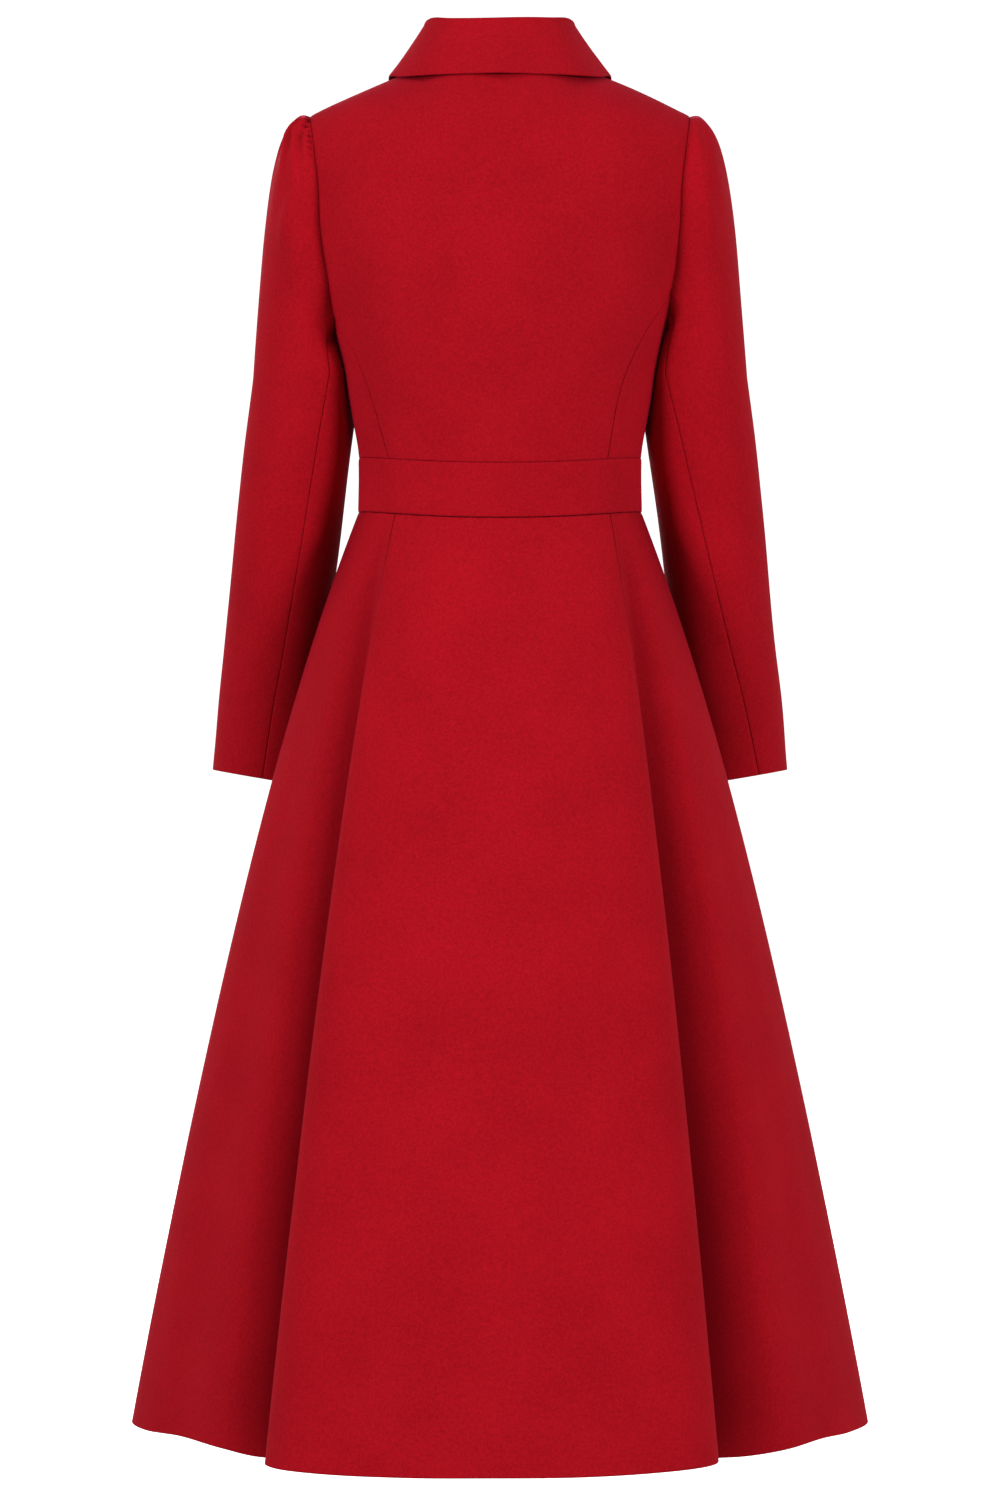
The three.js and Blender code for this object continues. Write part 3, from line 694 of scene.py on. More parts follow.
def hem_point(angle):
    radius = hem_value("radius", angle)
    turn = np.radians(angle)
    level = HEM_LEVEL - hem_value("drop", angle)
    return points(radius * np.sin(turn), radius * np.cos(turn), level)


def skirt_panel(waist_from, waist_to, hem_from, hem_to, length):
    """Panel between two lines that run from the waist section to the hem plan."""
    place = stops(length // PANEL_SPACING, length)
    waist_angle = np.radians(mix(waist_from, waist_to, place))
    waist = torso_point(waist_angle, waist_level(WAIST_BOTTOM, waist_angle))
    hem = hem_point(mix(hem_from, hem_to, place))
    share = stops(LINES["skirt_down"], WAIST_BOTTOM - HEM_LEVEL)
    reach = flare(share)[None, :, None]
    grid = mix(waist[:, None, :], hem[:, None, :], reach)
    grid[:, :, 2] = mix(waist[:, None, 2], hem[:, None, 2], share[None, :])
    return grid


def armhole_point(side, share, behind):
    """Point of the armhole and its facing: share 0 at the shoulder tip, 1 under the arm."""
    split = PRINCESS_ON_ARMHOLE
    top = PRINCESS_TOP[side]
    row = mix(-SHOULDER_DROP, top, min(1, share / split))
    x = curve(EDGES[side], "z", "x", row) * TO_SIDE[side]
    waist = waist_level(WAIST_TOP, torso_angle(x, WAIST_TOP, behind))
    rise = (row - WAIST_TOP) / (-SHOULDER_DROP - WAIST_TOP)
    level = mix(waist, -SHOULDER_DROP, rise)
    angle = torso_angle(x, level, behind)
    if share > split:
        along = (share - split) / (1 - split)
        side_angle = 1.5 * math.pi if side == "right" and not behind else TO_SIDE[side] * math.pi / 2
        drop = (top - UNDERARM_LEVEL) * (level - WAIST_TOP) / (top - WAIST_TOP)
        angle = mix(angle, side_angle, along)
        level = level - drop * math.sin(along * math.pi / 2)
    return torso_point(angle, level), torso_facing(angle, min(level, -SHOULDER_DROP - 2))


def torso_facing(angle, z):
    """Direction out of the torso's surface at an angle and a level."""
    across = torso_point(angle + 0.01, z) - torso_point(angle - 0.01, z)
    up = torso_point(angle, z + 0.5) - torso_point(angle, z - 1.5)
    facing = unit(np.cross(up, across))
    return facing if facing[0] * math.sin(angle) + facing[1] * math.cos(angle) > 0 else -facing


def torso_side(y, z):
    """How far out the torso's side stands at a depth and a level."""
    half_width = curve(TORSO_SECTIONS, "z", "half_width", z)
    across = np.maximum(0, 1 - (np.abs(y) / torso_depth(y >= 0, z)) ** TORSO_POWER)
    return half_width * across ** (1 / TORSO_POWER)


def sleeve_ring(level, angle):
    """Point of the sleeve's tube at a level, and at an angle from its outside to the back."""
    level = np.asarray(level, float)
    out = curve(SLEEVE_SECTIONS, "z", "across", level) * np.cos(angle)
    back = curve(SLEEVE_SECTIONS, "z", "deep", level) * np.sin(angle)
    down = (level - SLEEVE_TOP) / (SLEEVE_CUFF - SLEEVE_TOP)
    x = curve(SLEEVE_SECTIONS, "z", "x", level) + out
    y = curve(SLEEVE_SECTIONS, "z", "y", level) + back
    return points(x, y, level + CUFF_RISE * down * out)


def round_sleeve(around, at_seam, at_underarm):
    """Value from 0 at a sleeve's outside through one at its seam to one at the underarm."""
    if around < SEAM_ON_RING:
        return around / SEAM_ON_RING * at_seam
    return mix(at_seam, at_underarm, (around - SEAM_ON_RING) / (1 - SEAM_ON_RING))


def sleeve_angle(side, place, down):
    """Angle round the sleeve of a place from 0 at its outside to 1 at the underarm."""
    behind = place >= 0
    seam = mix(HIND_SEAM[side]["top"], HIND_SEAM[side]["cuff"], down) if behind else FORE_SEAM
    return np.radians(round_sleeve(abs(place), seam, 180)) * (1 if behind else -1)


def gather_height(side, angle):
    height = 0.0
    for gather in GATHERS[side]:
        off = (math.degrees(angle) - gather["angle"]) / gather["half_width"]
        height += gather["height"] * math.exp(-off * off)
    return height


def sleeve_column(side, place, cap_shares, arm_shares):
    """One column of a sleeve: over the head from the armhole, then down the arm to the cuff."""
    behind = place >= 0
    around = abs(place)
    start, facing = armhole_point(side, round_sleeve(around, SEAM_ON_ARMHOLE, 1), behind)
    start[0] = abs(start[0])
    facing[0] = abs(facing[0])
    angle = float(sleeve_angle(side, place, 0.0))
    end = sleeve_ring(SLEEVE_TOP, angle)
    under = float(ease(UNDERARM_TURN["start"], UNDERARM_TURN["end"], around))
    reach = HEAD_REACH * (1 - HEAD_REACH_LOSS * under)
    leave = np.array([1.0, HEAD_LEAN * math.sin(angle), -HEAD_SINK * under])
    leave /= np.linalg.norm(leave)
    lift = (start[2] - end[2]) * HEAD_LIFT
    tuck_in = HEAD_TUCK["outside" if math.cos(angle) > 0 else "underarm"] * math.cos(angle)
    control = [
        start + leave * SEAM_GAP * 2,
        start + leave * reach,
        end + np.array([-tuck_in, 0, lift]),
        end,
    ]
    t = cap_shares[:, None]
    cap = (
        control[0] * (1 - t) ** 3
        + control[1] * 3 * t * (1 - t) ** 2
        + control[2] * 3 * t * t * (1 - t)
        + control[3] * t ** 3
    )
    swell = gather_height(side, angle) * np.sin(np.minimum(1, cap_shares * GATHER_PACE) * math.pi)
    cap[:, 0] += swell * math.cos(angle) * GATHER_OUT
    cap[:, 1] += swell * math.sin(angle)
    cap[:, 2] += swell * GATHER_UP * (1 - cap_shares)
    arm = sleeve_ring(mix(SLEEVE_TOP, SLEEVE_CUFF, arm_shares), sleeve_angle(side, place, arm_shares))
    line = np.concatenate([cap, arm])
    gone = np.concatenate([[0], np.cumsum(np.linalg.norm(np.diff(line, axis=0), axis=1))])
    clear = torso_side(line[:, 1], line[:, 2]) + SLEEVE_CLEARANCE * ease(0, CLEARANCE_RUN, gone)
    pressed = ease(PRESSED["start"], PRESSED["full"], line[:, 2] - UNDERARM_LEVEL)
    line[:, 0] = mix(line[:, 0], np.maximum(line[:, 0], clear), pressed)
    puff = HEAD_PUFF * np.exp(-((gone - HEAD_PUFF_AT) / HEAD_PUFF_WIDTH) ** 2)
    line[:, 2] += puff * max(0, math.cos(angle))
    groove = HEAD_GROOVE_DEPTH * np.exp(-(gone / HEAD_GROOVE_WIDTH) ** 2)
    line = line - facing * groove[:, None]
    back = -leave + facing * np.dot(leave, facing)
    back /= max(np.linalg.norm(back), TUCK_LEAST_TURN)
    below = start - facing * TUCK_DEPTH
    tuck = [
        below + back * TUCK_LENGTH,
        below + back * TUCK_CORNER,
        start - facing * WALL + leave * SEAM_GAP,
    ]
    line = np.concatenate([tuck, line])
    line[:, 0] *= TO_SIDE[side]
    return line


def crease_height(grid, crease):
    """Height that one crease adds at every point of a grid."""
    corners = np.array(crease["through"], float)
    lengths = np.linalg.norm(np.diff(corners, axis=0), axis=1)
    gone = np.concatenate([[0], np.cumsum(lengths)]) / lengths.sum()
    place = grid[:, :, (0, 2)]
    nearest = np.full(grid.shape[:2], np.inf)
    share = np.zeros(grid.shape[:2])
    for k, length in enumerate(lengths):
        line = corners[k + 1] - corners[k]
        along = np.clip((place - corners[k]) @ line / length ** 2, 0, 1)
        away = np.linalg.norm(place - corners[k] - along[:, :, None] * line, axis=2)
        share = np.where(away < nearest, mix(gone[k], gone[k + 1], along), share)
        nearest = np.minimum(away, nearest)
    starting = ease(CREASE_FADE["start"], CREASE_FADE["full"], share)
    fading = starting * (1 - share) ** CREASE_FADE["power"]
    strength = fading if crease["fade"] else np.sin(share * math.pi)
    return crease["height"] * strength * np.exp(-(nearest / crease["width"]) ** 2)


def pucker_height(grid):
    """Height, zero or less, that the dents add along a gathered sleeve head's seam."""
    seam = curve(EDGES["left"], "z", "x", grid[:, :, 2])
    out = np.abs(grid[:, :, 0]) - seam
    total = np.zeros(grid.shape[:2])
    for pucker in PUCKERS:
        off = (grid[:, :, 2] - pucker["level"] - out * PUCKER_SLOPE) / PUCKER_WIDTH
        reach = ease(0, PUCKER_START, out) * ease(pucker["length"], 0, out)
        total -= pucker["depth"] * np.exp(-off * off) * reach
    return total


def creased(node, grid, normals):
    """Height that a piece's creases and puckers add, on the side that each belongs to."""
    raised = np.zeros(grid.shape[:2])
    back = ease(CREASE_FACING["start"], CREASE_FACING["full"], normals[:, :, 1])
    front = ease(CREASE_FACING["start"], CREASE_FACING["full"], -normals[:, :, 1])
    for creases, shown in ((BACK_CREASES, back), (FRONT_CREASES, front)):
        for crease in creases.get(node, []):
            raised += crease_height(grid, crease) * shown
    if node == "sleeve_upper_left":
        raised += pucker_height(grid) * back
    return raised


def sleeve_piece(side, start, end, length):
    """Upper or under sleeve, between two places round it."""
    next_rows = np.linspace(HEAD_NEXT_ROW, 1, LINES["head"])[:-1] ** HEAD_ROW_POWER
    cap_shares = np.concatenate([HEAD_FIRST_ROWS, next_rows])
    arm_shares = stops(LINES["arm"], SLEEVE_TOP - SLEEVE_CUFF, start=False)
    places = mix(start, end, stops(length // SLEEVE_SPACING, length))
    if start < 0:
        places = np.unique(np.concatenate([places, np.linspace(*GATHERED_PLACES[side])]))
    columns = []
    for place in places:
        # Past the underarm the places go on from the other way round
        place = place - 2 if place > 1 else place
        columns.append(sleeve_column(side, place, cap_shares, arm_shares))
    return np.array(columns)


def collar_grid():
    """Collar sections: up the stand, over the roll, and down the fall to the edge."""
    columns = []
    for around in np.linspace(-COLLAR_END, COLLAR_END, LINES["collar_round"]):
        side = 1.0 if around >= 0 else -1.0
        turn = abs(around)
        read = {
            name: float(curve(COLLAR_SECTIONS, "around", name, turn))
            for name in ("roll_x", "roll_y", "roll_z", "edge_x", "edge_y", "edge_z")
        }
        behind = turn <= 90
        neck_x = side * SIDE_NECK * math.sin(math.radians(turn))
        neck_z = float(top_level(neck_x, behind))
        seam = torso_point(torso_angle(neck_x, neck_z, behind), neck_z)
        seam[:2] -= unit(seam[:2]) * COLLAR_SEAM_INSIDE
        seam[2] += COLLAR_SEAM_RISE
        top = np.array([side * read["roll_x"], read["roll_y"], read["roll_z"]])
        edge = np.array([side * read["edge_x"], read["edge_y"], read["edge_z"]])
        outward = unit(np.array([top[0], top[1], 0.0]))
        centre = top - np.array([0, 0, COLLAR_ROLL_RADIUS])
        stand_top = centre - outward * COLLAR_ROLL_RADIUS
        fall_top = centre + outward * COLLAR_ROLL_RADIUS
        up = stops(LINES["stand"], LENGTHS["stand"], end=False)[:-1]
        stand = [mix(seam, stand_top, share) for share in up]
        arc = []
        for turned in np.linspace(math.pi, 0, LINES["roll"]):
            rise = np.array([0, 0, COLLAR_ROLL_RADIUS * math.sin(turned)])
            arc.append(centre + outward * COLLAR_ROLL_RADIUS * math.cos(turned) + rise)
        down = stops(LINES["fall"], LENGTHS["fall"], start=False)[1:]
        fall = [mix(fall_top, edge, share) for share in down]
        columns.append(stand + arc + fall)
    return np.array(columns)


def grid_normals(grid):
    """Unit normals of a grid of points, facing away from the inside of the cloth."""
    along = np.gradient(grid, axis=0)
    up = np.gradient(grid, axis=1)
    return unit(np.cross(along, up))


def lift_closing(grid, normals):
    """Raises the edge of the right front over the left one, from its points moved outwards."""
    share = ease(-CLOSING_BLEND, -CLOSING_OVERLAP - CLOSING_STEP, grid[:, :, 0])
    level = normals * np.array([1, 1, 0])
    length = np.linalg.norm(level, axis=2)
    distance = CLOSING_LIFT * share / np.maximum(0.6, length)
    return grid + unit(level) * distance[:, :, None]


def edge_distances(grid):
    """Distance of every point from the four edges of its grid, along the cloth."""
    across = np.linalg.norm(np.diff(grid, axis=0), axis=2)
    across = np.concatenate([np.zeros((1, grid.shape[1])), np.cumsum(across, axis=0)])
    up = np.linalg.norm(np.diff(grid, axis=1), axis=2)
    up = np.concatenate([np.zeros((grid.shape[0], 1)), np.cumsum(up, axis=1)], axis=1)
    return {
        "start": across,
        "end": across[-1:] - across,
        "bottom": up,
        "top": up[:, -1:] - up,
    }


def rim_drop(distance, radius):
    """How far a rounded rim has dropped at a distance from its edge."""
    inside = np.clip(radius - distance, 0, radius)
    return radius - np.sqrt(radius ** 2 - inside ** 2)


def furrow(distance, along):
    """Depth of a seam's furrow, a little uneven along its length."""
    uneven = 1 + sum(row["share"] * np.sin(along * row["pace"] + row["start"]) for row in SEAM_UNEVEN)
    dip = SEAM_DIP_DEPTH * uneven * np.clip(1 - distance / SEAM_DIP_WIDTH, 0, 1) ** 2
    return rim_drop(distance, SEAM_RADIUS) + dip


def waves(grid):
    """Slow unevenness of the cloth at every point of a grid."""
    total = np.zeros(grid.shape[:2])
    for wave in WAVES:
        total += np.sin(grid @ np.array([wave["x"], wave["y"], wave["z"]]) + wave["start"])
    return WAVE_HEIGHT * total / 2


def wall_faces(columns, rows):
    """Faces of a closed wall whose outer points come first and its inner points second."""
    index = np.arange(columns * rows).reshape(columns, rows)
    count = columns * rows

    def quads(a, b, c, d):
        return np.stack([a, b, c, d], axis=-1).reshape(-1, 4)

    a, b = index[:-1, :-1], index[1:, :-1]
    c, d = index[1:, 1:], index[:-1, 1:]
    parts = [quads(a, b, c, d), quads(a + count, d + count, c + count, b + count)]
    for rim in (index[::-1, 0], index[:, -1], index[-1, ::-1], index[0]):
        here, there = rim[:-1], rim[1:]
        parts.append(quads(here, there, there + count, here + count))
    return np.concatenate(parts)


def mesh_object(name, vertices, faces, material):
    mesh = bpy.data.meshes.new(name)
    mesh.from_pydata([tuple(v) for v in vertices], [], [tuple(int(k) for k in f) for f in faces])
    mesh.update()
    mesh.materials.append(material)
    mesh.polygons.foreach_set("use_smooth", [True] * len(mesh.polygons))
    piece = bpy.data.objects.new(name, mesh)
    bpy.context.scene.collection.objects.link(piece)
    return piece


def signed_volume(vertices, faces):
    a, b = vertices[faces[:, 0]], vertices[faces[:, 1]]
    c, d = vertices[faces[:, 2]], vertices[faces[:, 3]]
    first = np.einsum("ij,ij->i", a, np.cross(b, c)).sum()
    second = np.einsum("ij,ij->i", a, np.cross(c, d)).sum()
    return (first + second) / 6


def cloth_piece(node, grid, edges, material):
    """Closed thin cloth piece on its solid's form, from a grid of outer points."""
    normals = grid_normals(grid)
    middle = tuple(size // 2 for size in grid.shape[:2])
    facing = OUTWARD.get(node, lambda point: np.array([point[0], point[1], 0.0]))
    if np.dot(normals[middle], facing(grid[middle])) < 0:
        grid = grid[::-1]
        normals = grid_normals(grid)
        edges = dict(edges, start=edges["end"], end=edges["start"])
    if node in ("bodice_front_right", "waistband_front_right", "skirt_front_right"):
        grid = lift_closing(grid, normals)
    distances = edge_distances(grid)
    nearest = np.minimum.reduce([distances[name] for name in distances])
    if node.startswith("waistband"):
        grid = grid + normals * BAND_RISE
    grid = grid + normals * (waves(grid) * ease(0, WAVE_FREE_EDGE, nearest))[:, :, None]
    grid = grid + normals * creased(node, grid, normals)[:, :, None]
    normals = grid_normals(grid)
    distances = edge_distances(grid)
    outer_drop = np.zeros(grid.shape[:2])
    inner_drop = np.zeros(grid.shape[:2])
    for name, kind in edges.items():
        distance = distances[name]
        along = distances["bottom"] if name in ("start", "end") else distances["start"]
        if kind == "seam":
            outer_drop = np.maximum(outer_drop, furrow(distance, along))
        else:
            rounded = rim_drop(distance, FREE_EDGE_RADIUS)
            outer_drop = np.maximum(outer_drop, rounded)
            inner_drop = np.maximum(inner_drop, rounded)
    outer = grid - normals * outer_drop[:, :, None]
    inner = grid - normals * (WALL - inner_drop)[:, :, None]
    vertices = np.concatenate([outer.reshape(-1, 3), inner.reshape(-1, 3)]) * MM
    faces = wall_faces(*grid.shape[:2])
    if signed_volume(vertices, faces) < 0:
        faces = faces[:, ::-1]
    piece = mesh_object(f"cloth_{node}", vertices, faces, material)
    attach(piece, "root")
    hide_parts(node)
    return piece


def from_sleeve(side):
    """Direction out of a sleeve at a point, from the sleeve's own middle line."""
    def facing(point):
        level = min(SLEEVE_TOP, float(point[2]))
        x = TO_SIDE[side] * float(curve(SLEEVE_SECTIONS, "z", "x", level))
        y = float(curve(SLEEVE_SECTIONS, "z", "y", level))
        return np.array([point[0] - x, point[1] - y, 0.0])
    return facing


OUTWARD = {
    "sleeve_upper_left": from_sleeve("left"),
    "sleeve_under_left": from_sleeve("left"),
    "sleeve_upper_right": from_sleeve("right"),
    "sleeve_under_right": from_sleeve("right"),
}


def new_material(name):
    material = bpy.data.materials.new(name)
    material.use_nodes = True
    nodes = material.node_tree.nodes
    links = material.node_tree.links
    return material, nodes, links, nodes["Principled BSDF"]


def set_inputs(node, values):
    for name, value in values.items():
        node.inputs[name].default_value = value


def noise(nodes, links, scale, detail, roughness=0.5):
    place = nodes.new("ShaderNodeTexCoord").outputs["Object"]
    texture = nodes.new("ShaderNodeTexNoise")
    set_inputs(texture, {"Scale": scale, "Detail": detail, "Roughness": roughness})
    links.new(place, texture.inputs["Vector"])
    return texture.outputs["Fac"]


def arithmetic(nodes, links, operation, value, number):
    """Node that works out one thing from a value and a number."""
    node = nodes.new("ShaderNodeMath")
    node.operation = operation
    links.new(value, node.inputs[0])
    node.inputs[1].default_value = number
    return node


def tones(nodes, links, factor, low, high, start=0.0, end=1.0):
    """Colour that runs from a low tone to a high one as a factor goes from start to end."""
    ramp = nodes.new("ShaderNodeValToRGB")
    for stop, place, colour in zip(ramp.color_ramp.elements, (start, end), (low, high)):
        stop.position = place
        stop.color = (*colour, 1)
    links.new(factor, ramp.inputs["Fac"])
    return ramp.outputs["Color"]


def wool_material(name, painted_fold_shade):
    """Dense red wool with a short soft nap: mottled colour, painted shade where the cloth is folded or
    near other cloth, fibre bump and sheen.
    """
    material, nodes, links, shader = new_material(name)
    mottle = noise(nodes, links, scale=14.0, detail=4.0)
    grain = noise(nodes, links, scale=420.0, detail=4.0, roughness=0.65)
    tone = arithmetic(nodes, links, "MULTIPLY_ADD", mottle, 0.35)
    links.new(grain, tone.inputs[2])
    low, high = (0.325, 0.0044, 0.0095), (0.445, 0.0062, 0.0135)
    red = tones(nodes, links, tone.outputs[0], low, high, start=0.5, end=0.85)
    # Painted shade: an ambient occlusion node darkens the colour towards a dark red wherever other
    # cloth lies near
    fold_shade_node = nodes.new("ShaderNodeAmbientOcclusion")
    fold_shade_node.samples = 8
    fold_shade_node.inputs["Distance"].default_value = painted_fold_shade["reach"]
    painted_shade_strength = arithmetic(nodes, links, "POWER", fold_shade_node.outputs["AO"], painted_fold_shade["shade"])
    painted_shade_mix = nodes.new("ShaderNodeMix")
    painted_shade_mix.data_type = "RGBA"
    painted_shade_mix.inputs["A"].default_value = (0.09, 0.0006, 0.002, 1)
    links.new(painted_shade_strength.outputs[0], painted_shade_mix.inputs["Factor"])
    links.new(red, painted_shade_mix.inputs["B"])
    links.new(painted_shade_mix.outputs["Result"], shader.inputs["Base Color"])
    set_inputs(shader, {
        "Roughness": 0.92,
        "Specular IOR Level": 0.08,
        "Specular Tint": (1.0, 0.06, 0.12, 1),
        "Sheen Weight": 0.3,
        "Sheen Roughness": 0.4,
        "Sheen Tint": (1.0, 0.05, 0.14, 1),
    })
    bump = nodes.new("ShaderNodeBump")
    set_inputs(bump, {"Strength": 0.35, "Distance": 0.0006})
    links.new(noise(nodes, links, scale=900.0, detail=3.0, roughness=0.7), bump.inputs["Height"])
    links.new(bump.outputs["Normal"], shader.inputs["Normal"])
    return material


def plain_material(name, low, high, scale, detail, looks):
    """Material with two tones in a fine noise."""
    material, nodes, links, shader = new_material(name)
    colour = tones(nodes, links, noise(nodes, links, scale, detail), low, high)
    links.new(colour, shader.inputs["Base Color"])
    set_inputs(shader, looks)
    return material


def button_material():
    low, high = (0.16, 0.003, 0.007), (0.3, 0.006, 0.012)
    looks = {"Roughness": 0.42, "Specular IOR Level": 0.3}
    return plain_material("dark_red_button", low, high, 160.0, 3.0, looks)


def thread_material():
    low, high = (0.2, 0.0025, 0.006), (0.42, 0.008, 0.016)
    return plain_material("red_thread", low, high, 1500.0, 2.0, {"Roughness": 0.55})


def closing_point(level):
    """Point of the front closing's outer face at a level."""
    dipped = float(waist_level(WAIST_BOTTOM, math.pi))
    if level > dipped:
        return torso_point(math.pi, level)
    waist = torso_point(math.pi, dipped)
    hem = hem_point(np.array(180.0))
    share = (level - dipped) / (HEM_LEVEL - dipped)
    return np.array([0.0, float(mix(waist[1], hem[1], flare(share))), level])


def closing_axes(level):
    """Directions up along the closing, out of it, and across it, at a level."""
    along = unit(closing_point(level + BUTTON_RADIUS) - closing_point(level - BUTTON_RADIUS))
    facing = unit(np.array([0.0, -along[2], along[1]]))
    return along, facing, np.cross(along, facing)


def ring_faces(rings, around, closed=False):
    """Faces between rings of points that lie one after another, and back to the first if closed."""
    faces = []
    for ring in range(rings if closed else rings - 1):
        for k in range(around):
            here, there = ring * around, (ring + 1) % rings * around
            after = (k + 1) % around
            faces.append((here + k, there + k, there + after, here + after))
    return faces


def thread_loop(name, centres, radii, material):
    """Closed loop of thread through its centre points, with a radius at each of them."""
    tangents = unit(np.roll(centres, -1, axis=0) - np.roll(centres, 1, axis=0))
    level = unit(np.cross(tangents, np.array([0.0, 1.0, 0.0])))[:, None]
    outward = np.cross(level, tangents[:, None])
    turn = 2 * math.pi * np.arange(THREAD_SIDES)[None, :, None] / THREAD_SIDES
    ring = level * np.cos(turn) + outward * np.sin(turn)
    vertices = (centres[:, None] + ring * radii[:, None, None]).reshape(-1, 3) * MM
    piece = mesh_object(name, vertices, ring_faces(len(centres), THREAD_SIDES, closed=True), material)
    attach(piece, "root")


def buttonhole(index, level, material):
    """Worked buttonhole: stitches close round a narrow slit that lies across the closing."""
    along, facing, across = closing_axes(level)
    sideways = across * np.sign(across[0])
    turn = 2 * math.pi * np.arange(2 * HOLE_STITCHES) / (2 * HOLE_STITCHES)
    middle, half = (HOLE_START + HOLE_END) / 2, (HOLE_START - HOLE_END) / 2
    x = middle + half * rounded(np.cos(turn), HOLE_POWER)
    up = HOLE_HALF_HEIGHT * rounded(np.sin(turn), HOLE_POWER)
    out = CLOSING_LIFT + STITCH_RADIUS["low"] - x * x / (2 * CLOSING_RADIUS)
    centres = closing_point(level) + x[:, None] * sideways + up[:, None] * along + out[:, None] * facing
    stitches = np.where(np.arange(len(turn)) % 2 == 0, STITCH_RADIUS["high"], STITCH_RADIUS["low"])
    thread_loop(f"buttonhole_{index + 1}", centres, stitches, material)


def button_thread(index, level, material):
    """Two doubled threads that hold a button on, from hole to hole across its dished middle."""
    along, facing, across = closing_axes(level)
    turn = 2 * math.pi * np.arange(SHANK_POINTS) / SHANK_POINTS
    radii = np.full(SHANK_POINTS, SHANK_RADIUS)
    seat = closing_point(level) + facing * (CLOSING_LIFT + BUTTON_STANDOFF)
    for name, offset in (("upper", SHANK_SPACING), ("lower", -SHANK_SPACING)):
        x = SHANK_HALF_LENGTH * np.cos(turn)
        up = offset + SHANK_RADIUS * np.sin(turn)
        out = SHANK_HEIGHT - SHANK_DIP * np.cos(turn) ** 4
        centres = seat + x[:, None] * across + up[:, None] * along + out[:, None] * facing
        thread_loop(f"button_thread_{name}_{index + 1}", centres, radii, material)


def button(index, level, material):
    """Button with a raised rim and a dished middle, sewn to the closing."""
    along, facing, across = closing_axes(level)
    seat = closing_point(level) + facing * (CLOSING_LIFT + BUTTON_STANDOFF)
    vertices = []
    for ring in BUTTON_RINGS:
        for k in range(BUTTON_SIDES):
            turn = 2 * math.pi * k / BUTTON_SIDES
            flat = across * math.cos(turn) + along * math.sin(turn)
            vertices.append(seat + flat * ring["radius"] + facing * ring["height"])
    faces = [face[::-1] for face in ring_faces(len(BUTTON_RINGS), BUTTON_SIDES)]
    top = len(vertices)
    vertices += [seat + facing * BUTTON_DISH, seat]
    last = top - BUTTON_SIDES
    for k in range(BUTTON_SIDES):
        after = (k + 1) % BUTTON_SIDES
        faces.append((top, after, k))
        faces.append((top + 1, last + k, last + after))
    piece = mesh_object(f"sewn_button_{index + 1}", np.array(vertices) * MM, faces, material)
    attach(piece, "root")
    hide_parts(f"button_{index + 1}")


def make_coat():
    wool = wool_material("red_napped_wool", BODY_PAINTED_FOLD_SHADE)
    skirt_wool = wool_material("red_napped_wool_skirt", SKIRT_PAINTED_FOLD_SHADE)
    seam, free = "seam", "free"
    all_seams = {"start": seam, "end": seam, "bottom": seam, "top": seam}
    skirt_edges = dict(all_seams, top=free)
    waist_width = curve(TORSO_SECTIONS, "z", "half_width", WAIST_TOP)
    front_radius = curve(HEM_PLAN["left"], "angle", "radius", 180)
    past = math.degrees(math.asin((CLOSING_OVERLAP / waist_width) ** (TORSO_POWER / 2)))
    hem_past = math.degrees(math.atan(CLOSING_OVERLAP / front_radius))
    cloth_piece("bodice_back", bodice_back(), all_seams, wool)
    cloth_piece("waistband_back", waistband(-90, 90, LENGTHS["waistband_back"]), all_seams, wool)
    left, right = SKIRT_SEAMS["left"], SKIRT_SEAMS["right"]
    waist_ends = (-right["back_waist"], left["back_waist"])
    hem_ends = (-right["back_hem"], left["back_hem"])
    back = skirt_panel(*waist_ends, *hem_ends, LENGTHS["skirt_back"])
    cloth_piece("skirt_back", back, skirt_edges, skirt_wool)
    for side in SIDES:
        sign = TO_SIDE[side]
        for behind, name in ((True, "back"), (False, "front")):
            cloth_piece(f"bodice_side_{name}_{side}", bodice_side(side, behind), all_seams, wool)
        cloth_piece(f"bodice_front_{side}", bodice_front(side), dict(all_seams, start=free), wool)
        band = waistband(sign * 90, sign * (180 + past), LENGTHS["waistband_front"])
        cloth_piece(f"waistband_front_{side}", band, dict(all_seams, end=free), wool)
        seams = SKIRT_SEAMS[side]
        panels = [
            ("skirt_side_back", seams["back_waist"], 90, seams["back_hem"], 90, seam),
            ("skirt_side_front", 90, seams["front_waist"], 90, seams["front_hem"], seam),
            ("skirt_front", seams["front_waist"], 180 + past, seams["front_hem"], 180 + hem_past, free),
        ]
        for name, *angles, closing in panels:
            panel = skirt_panel(*[sign * angle for angle in angles], LENGTHS[name])
            cloth_piece(f"{name}_{side}", panel, dict(skirt_edges, end=closing), skirt_wool)
        ring = SEAM_ON_RING
        for name, start, end in (("sleeve_upper", -ring, ring), ("sleeve_under", ring, 2 - ring)):
            sleeve = sleeve_piece(side, start, end, LENGTHS[name])
            cloth_piece(f"{name}_{side}", sleeve, dict(all_seams, top=free), wool)
    collar_edges = {"start": free, "end": free, "bottom": seam, "top": free}
    cloth_piece("collar", collar_grid(), collar_edges, wool)


def make_buttons():
    plastic = button_material()
    thread = thread_material()
    for index, level in enumerate(BUTTON_LEVELS):
        button(index, level, plastic)
        button_thread(index, level, thread)
        buttonhole(index, level, thread)


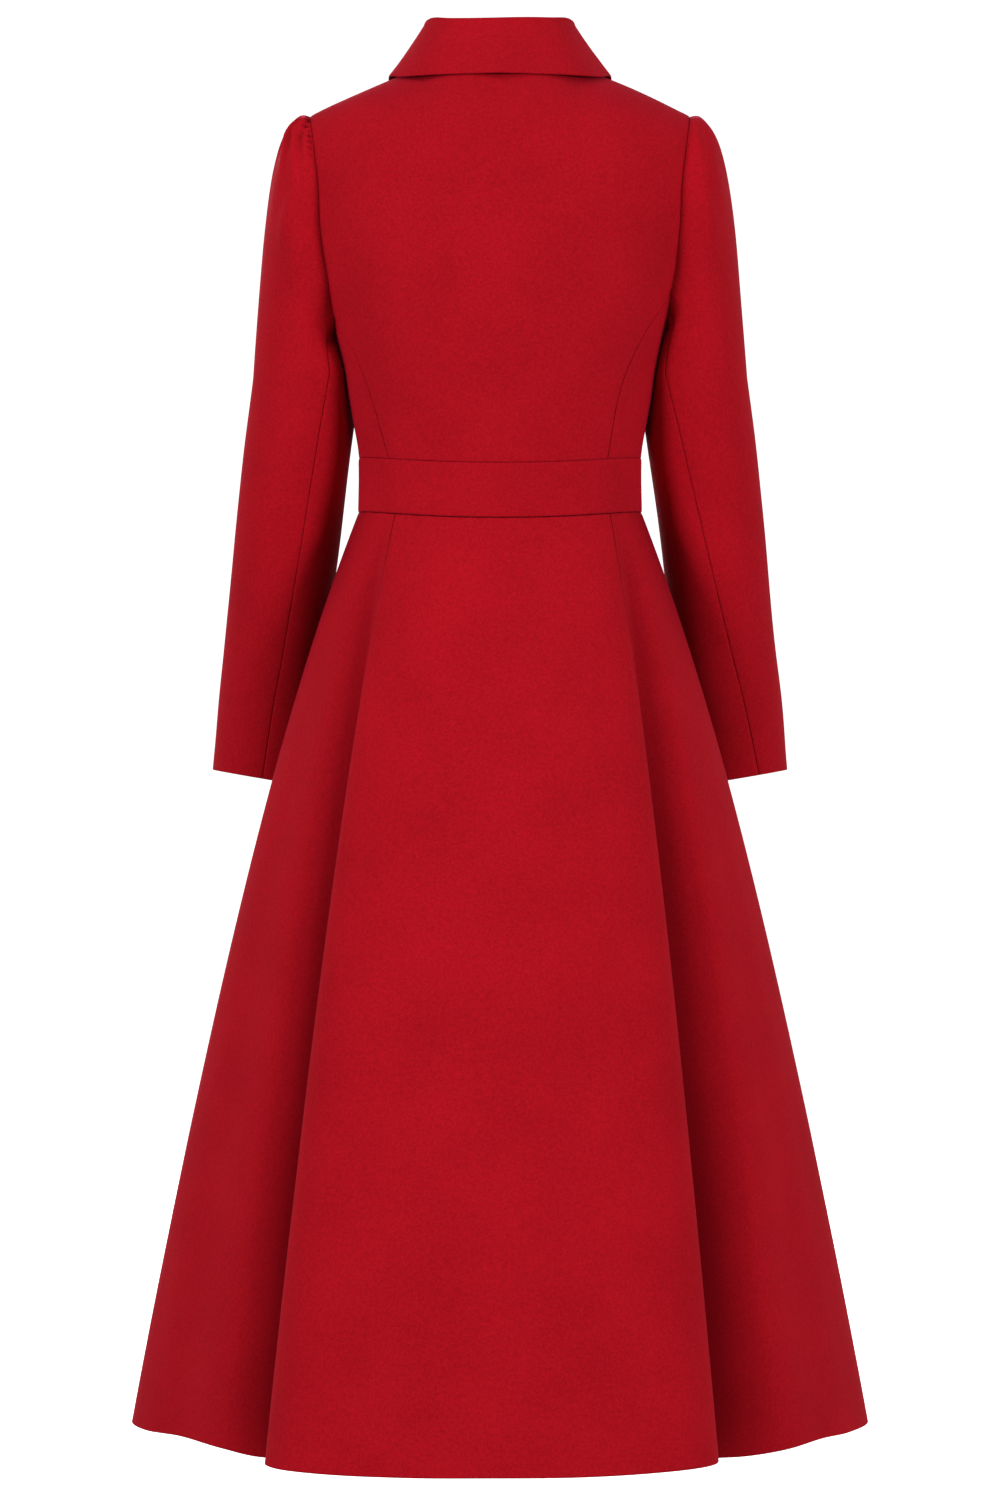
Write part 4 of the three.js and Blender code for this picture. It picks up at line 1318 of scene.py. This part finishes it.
def add_camera():
    data = bpy.data.cameras.new("camera")
    data.sensor_width = SENSOR
    data.lens = SENSOR * CAMERA_DISTANCE / PHOTO_HEIGHT_AT_SEAMS
    data.clip_end = CAMERA_REACH
    camera = bpy.data.objects.new("camera", data)
    camera.location = (0, CAMERA_DISTANCE, CAMERA_LEVEL)
    camera.rotation_euler = (math.pi / 2, 0, math.pi)
    bpy.context.scene.collection.objects.link(camera)
    bpy.context.scene.camera = camera


def add_light(name, place, size, power):
    data = bpy.data.lights.new(name, "AREA")
    data.shape = "SQUARE"
    data.size = size
    data.energy = power
    light = bpy.data.objects.new(name, data)
    light.location = place
    towards = Vector(LIGHT_TARGET) - Vector(place)
    light.rotation_euler = towards.to_track_quat("-Z", "Y").to_euler()
    bpy.context.scene.collection.objects.link(light)


def add_studio():
    """Pale floor that sweeps up all round, and large soft lights on the coat."""
    material, _, _, shader = new_material("pale_floor")
    set_inputs(shader, {
        "Base Color": (0.9, 0.9, 0.9, 1),
        "Roughness": 0.9,
        "Emission Color": (1, 1, 1, 1),
        "Emission Strength": FLOOR_GLOW,
    })
    profile = [(FLOOR_MIDDLE, 0.0), (FLOOR_RADIUS, 0.0)]
    for turn in np.linspace(0, math.pi / 2, FLOOR_STEPS)[1:]:
        out = FLOOR_RADIUS + FLOOR_BEND * math.sin(turn)
        profile.append((out, FLOOR_BEND * (1 - math.cos(turn))))
    profile.append((FLOOR_RADIUS + FLOOR_BEND, FLOOR_WALL))
    corners = []
    for radius, height in profile:
        for k in range(FLOOR_SIDES):
            turn = 2 * math.pi * k / FLOOR_SIDES
            corners.append((radius * math.cos(turn), radius * math.sin(turn), FLOOR_LEVEL + height))
    faces = ring_faces(len(profile), FLOOR_SIDES) + [tuple(range(FLOOR_SIDES))]
    floor = mesh_object("floor", corners, faces, material)
    floor.visible_diffuse = False
    world = bpy.data.worlds.new("studio")
    world.use_nodes = True
    background = world.node_tree.nodes["Background"]
    set_inputs(background, {"Color": (1, 1, 1, 1), "Strength": WORLD_LIGHT})
    bpy.context.scene.world = world
    for light in LIGHTS:
        add_light(**light)


add_camera()
add_studio()
make_coat()
make_buttons()

view = bpy.context.scene.view_settings
view.view_transform = "Standard"
view.look = "None"
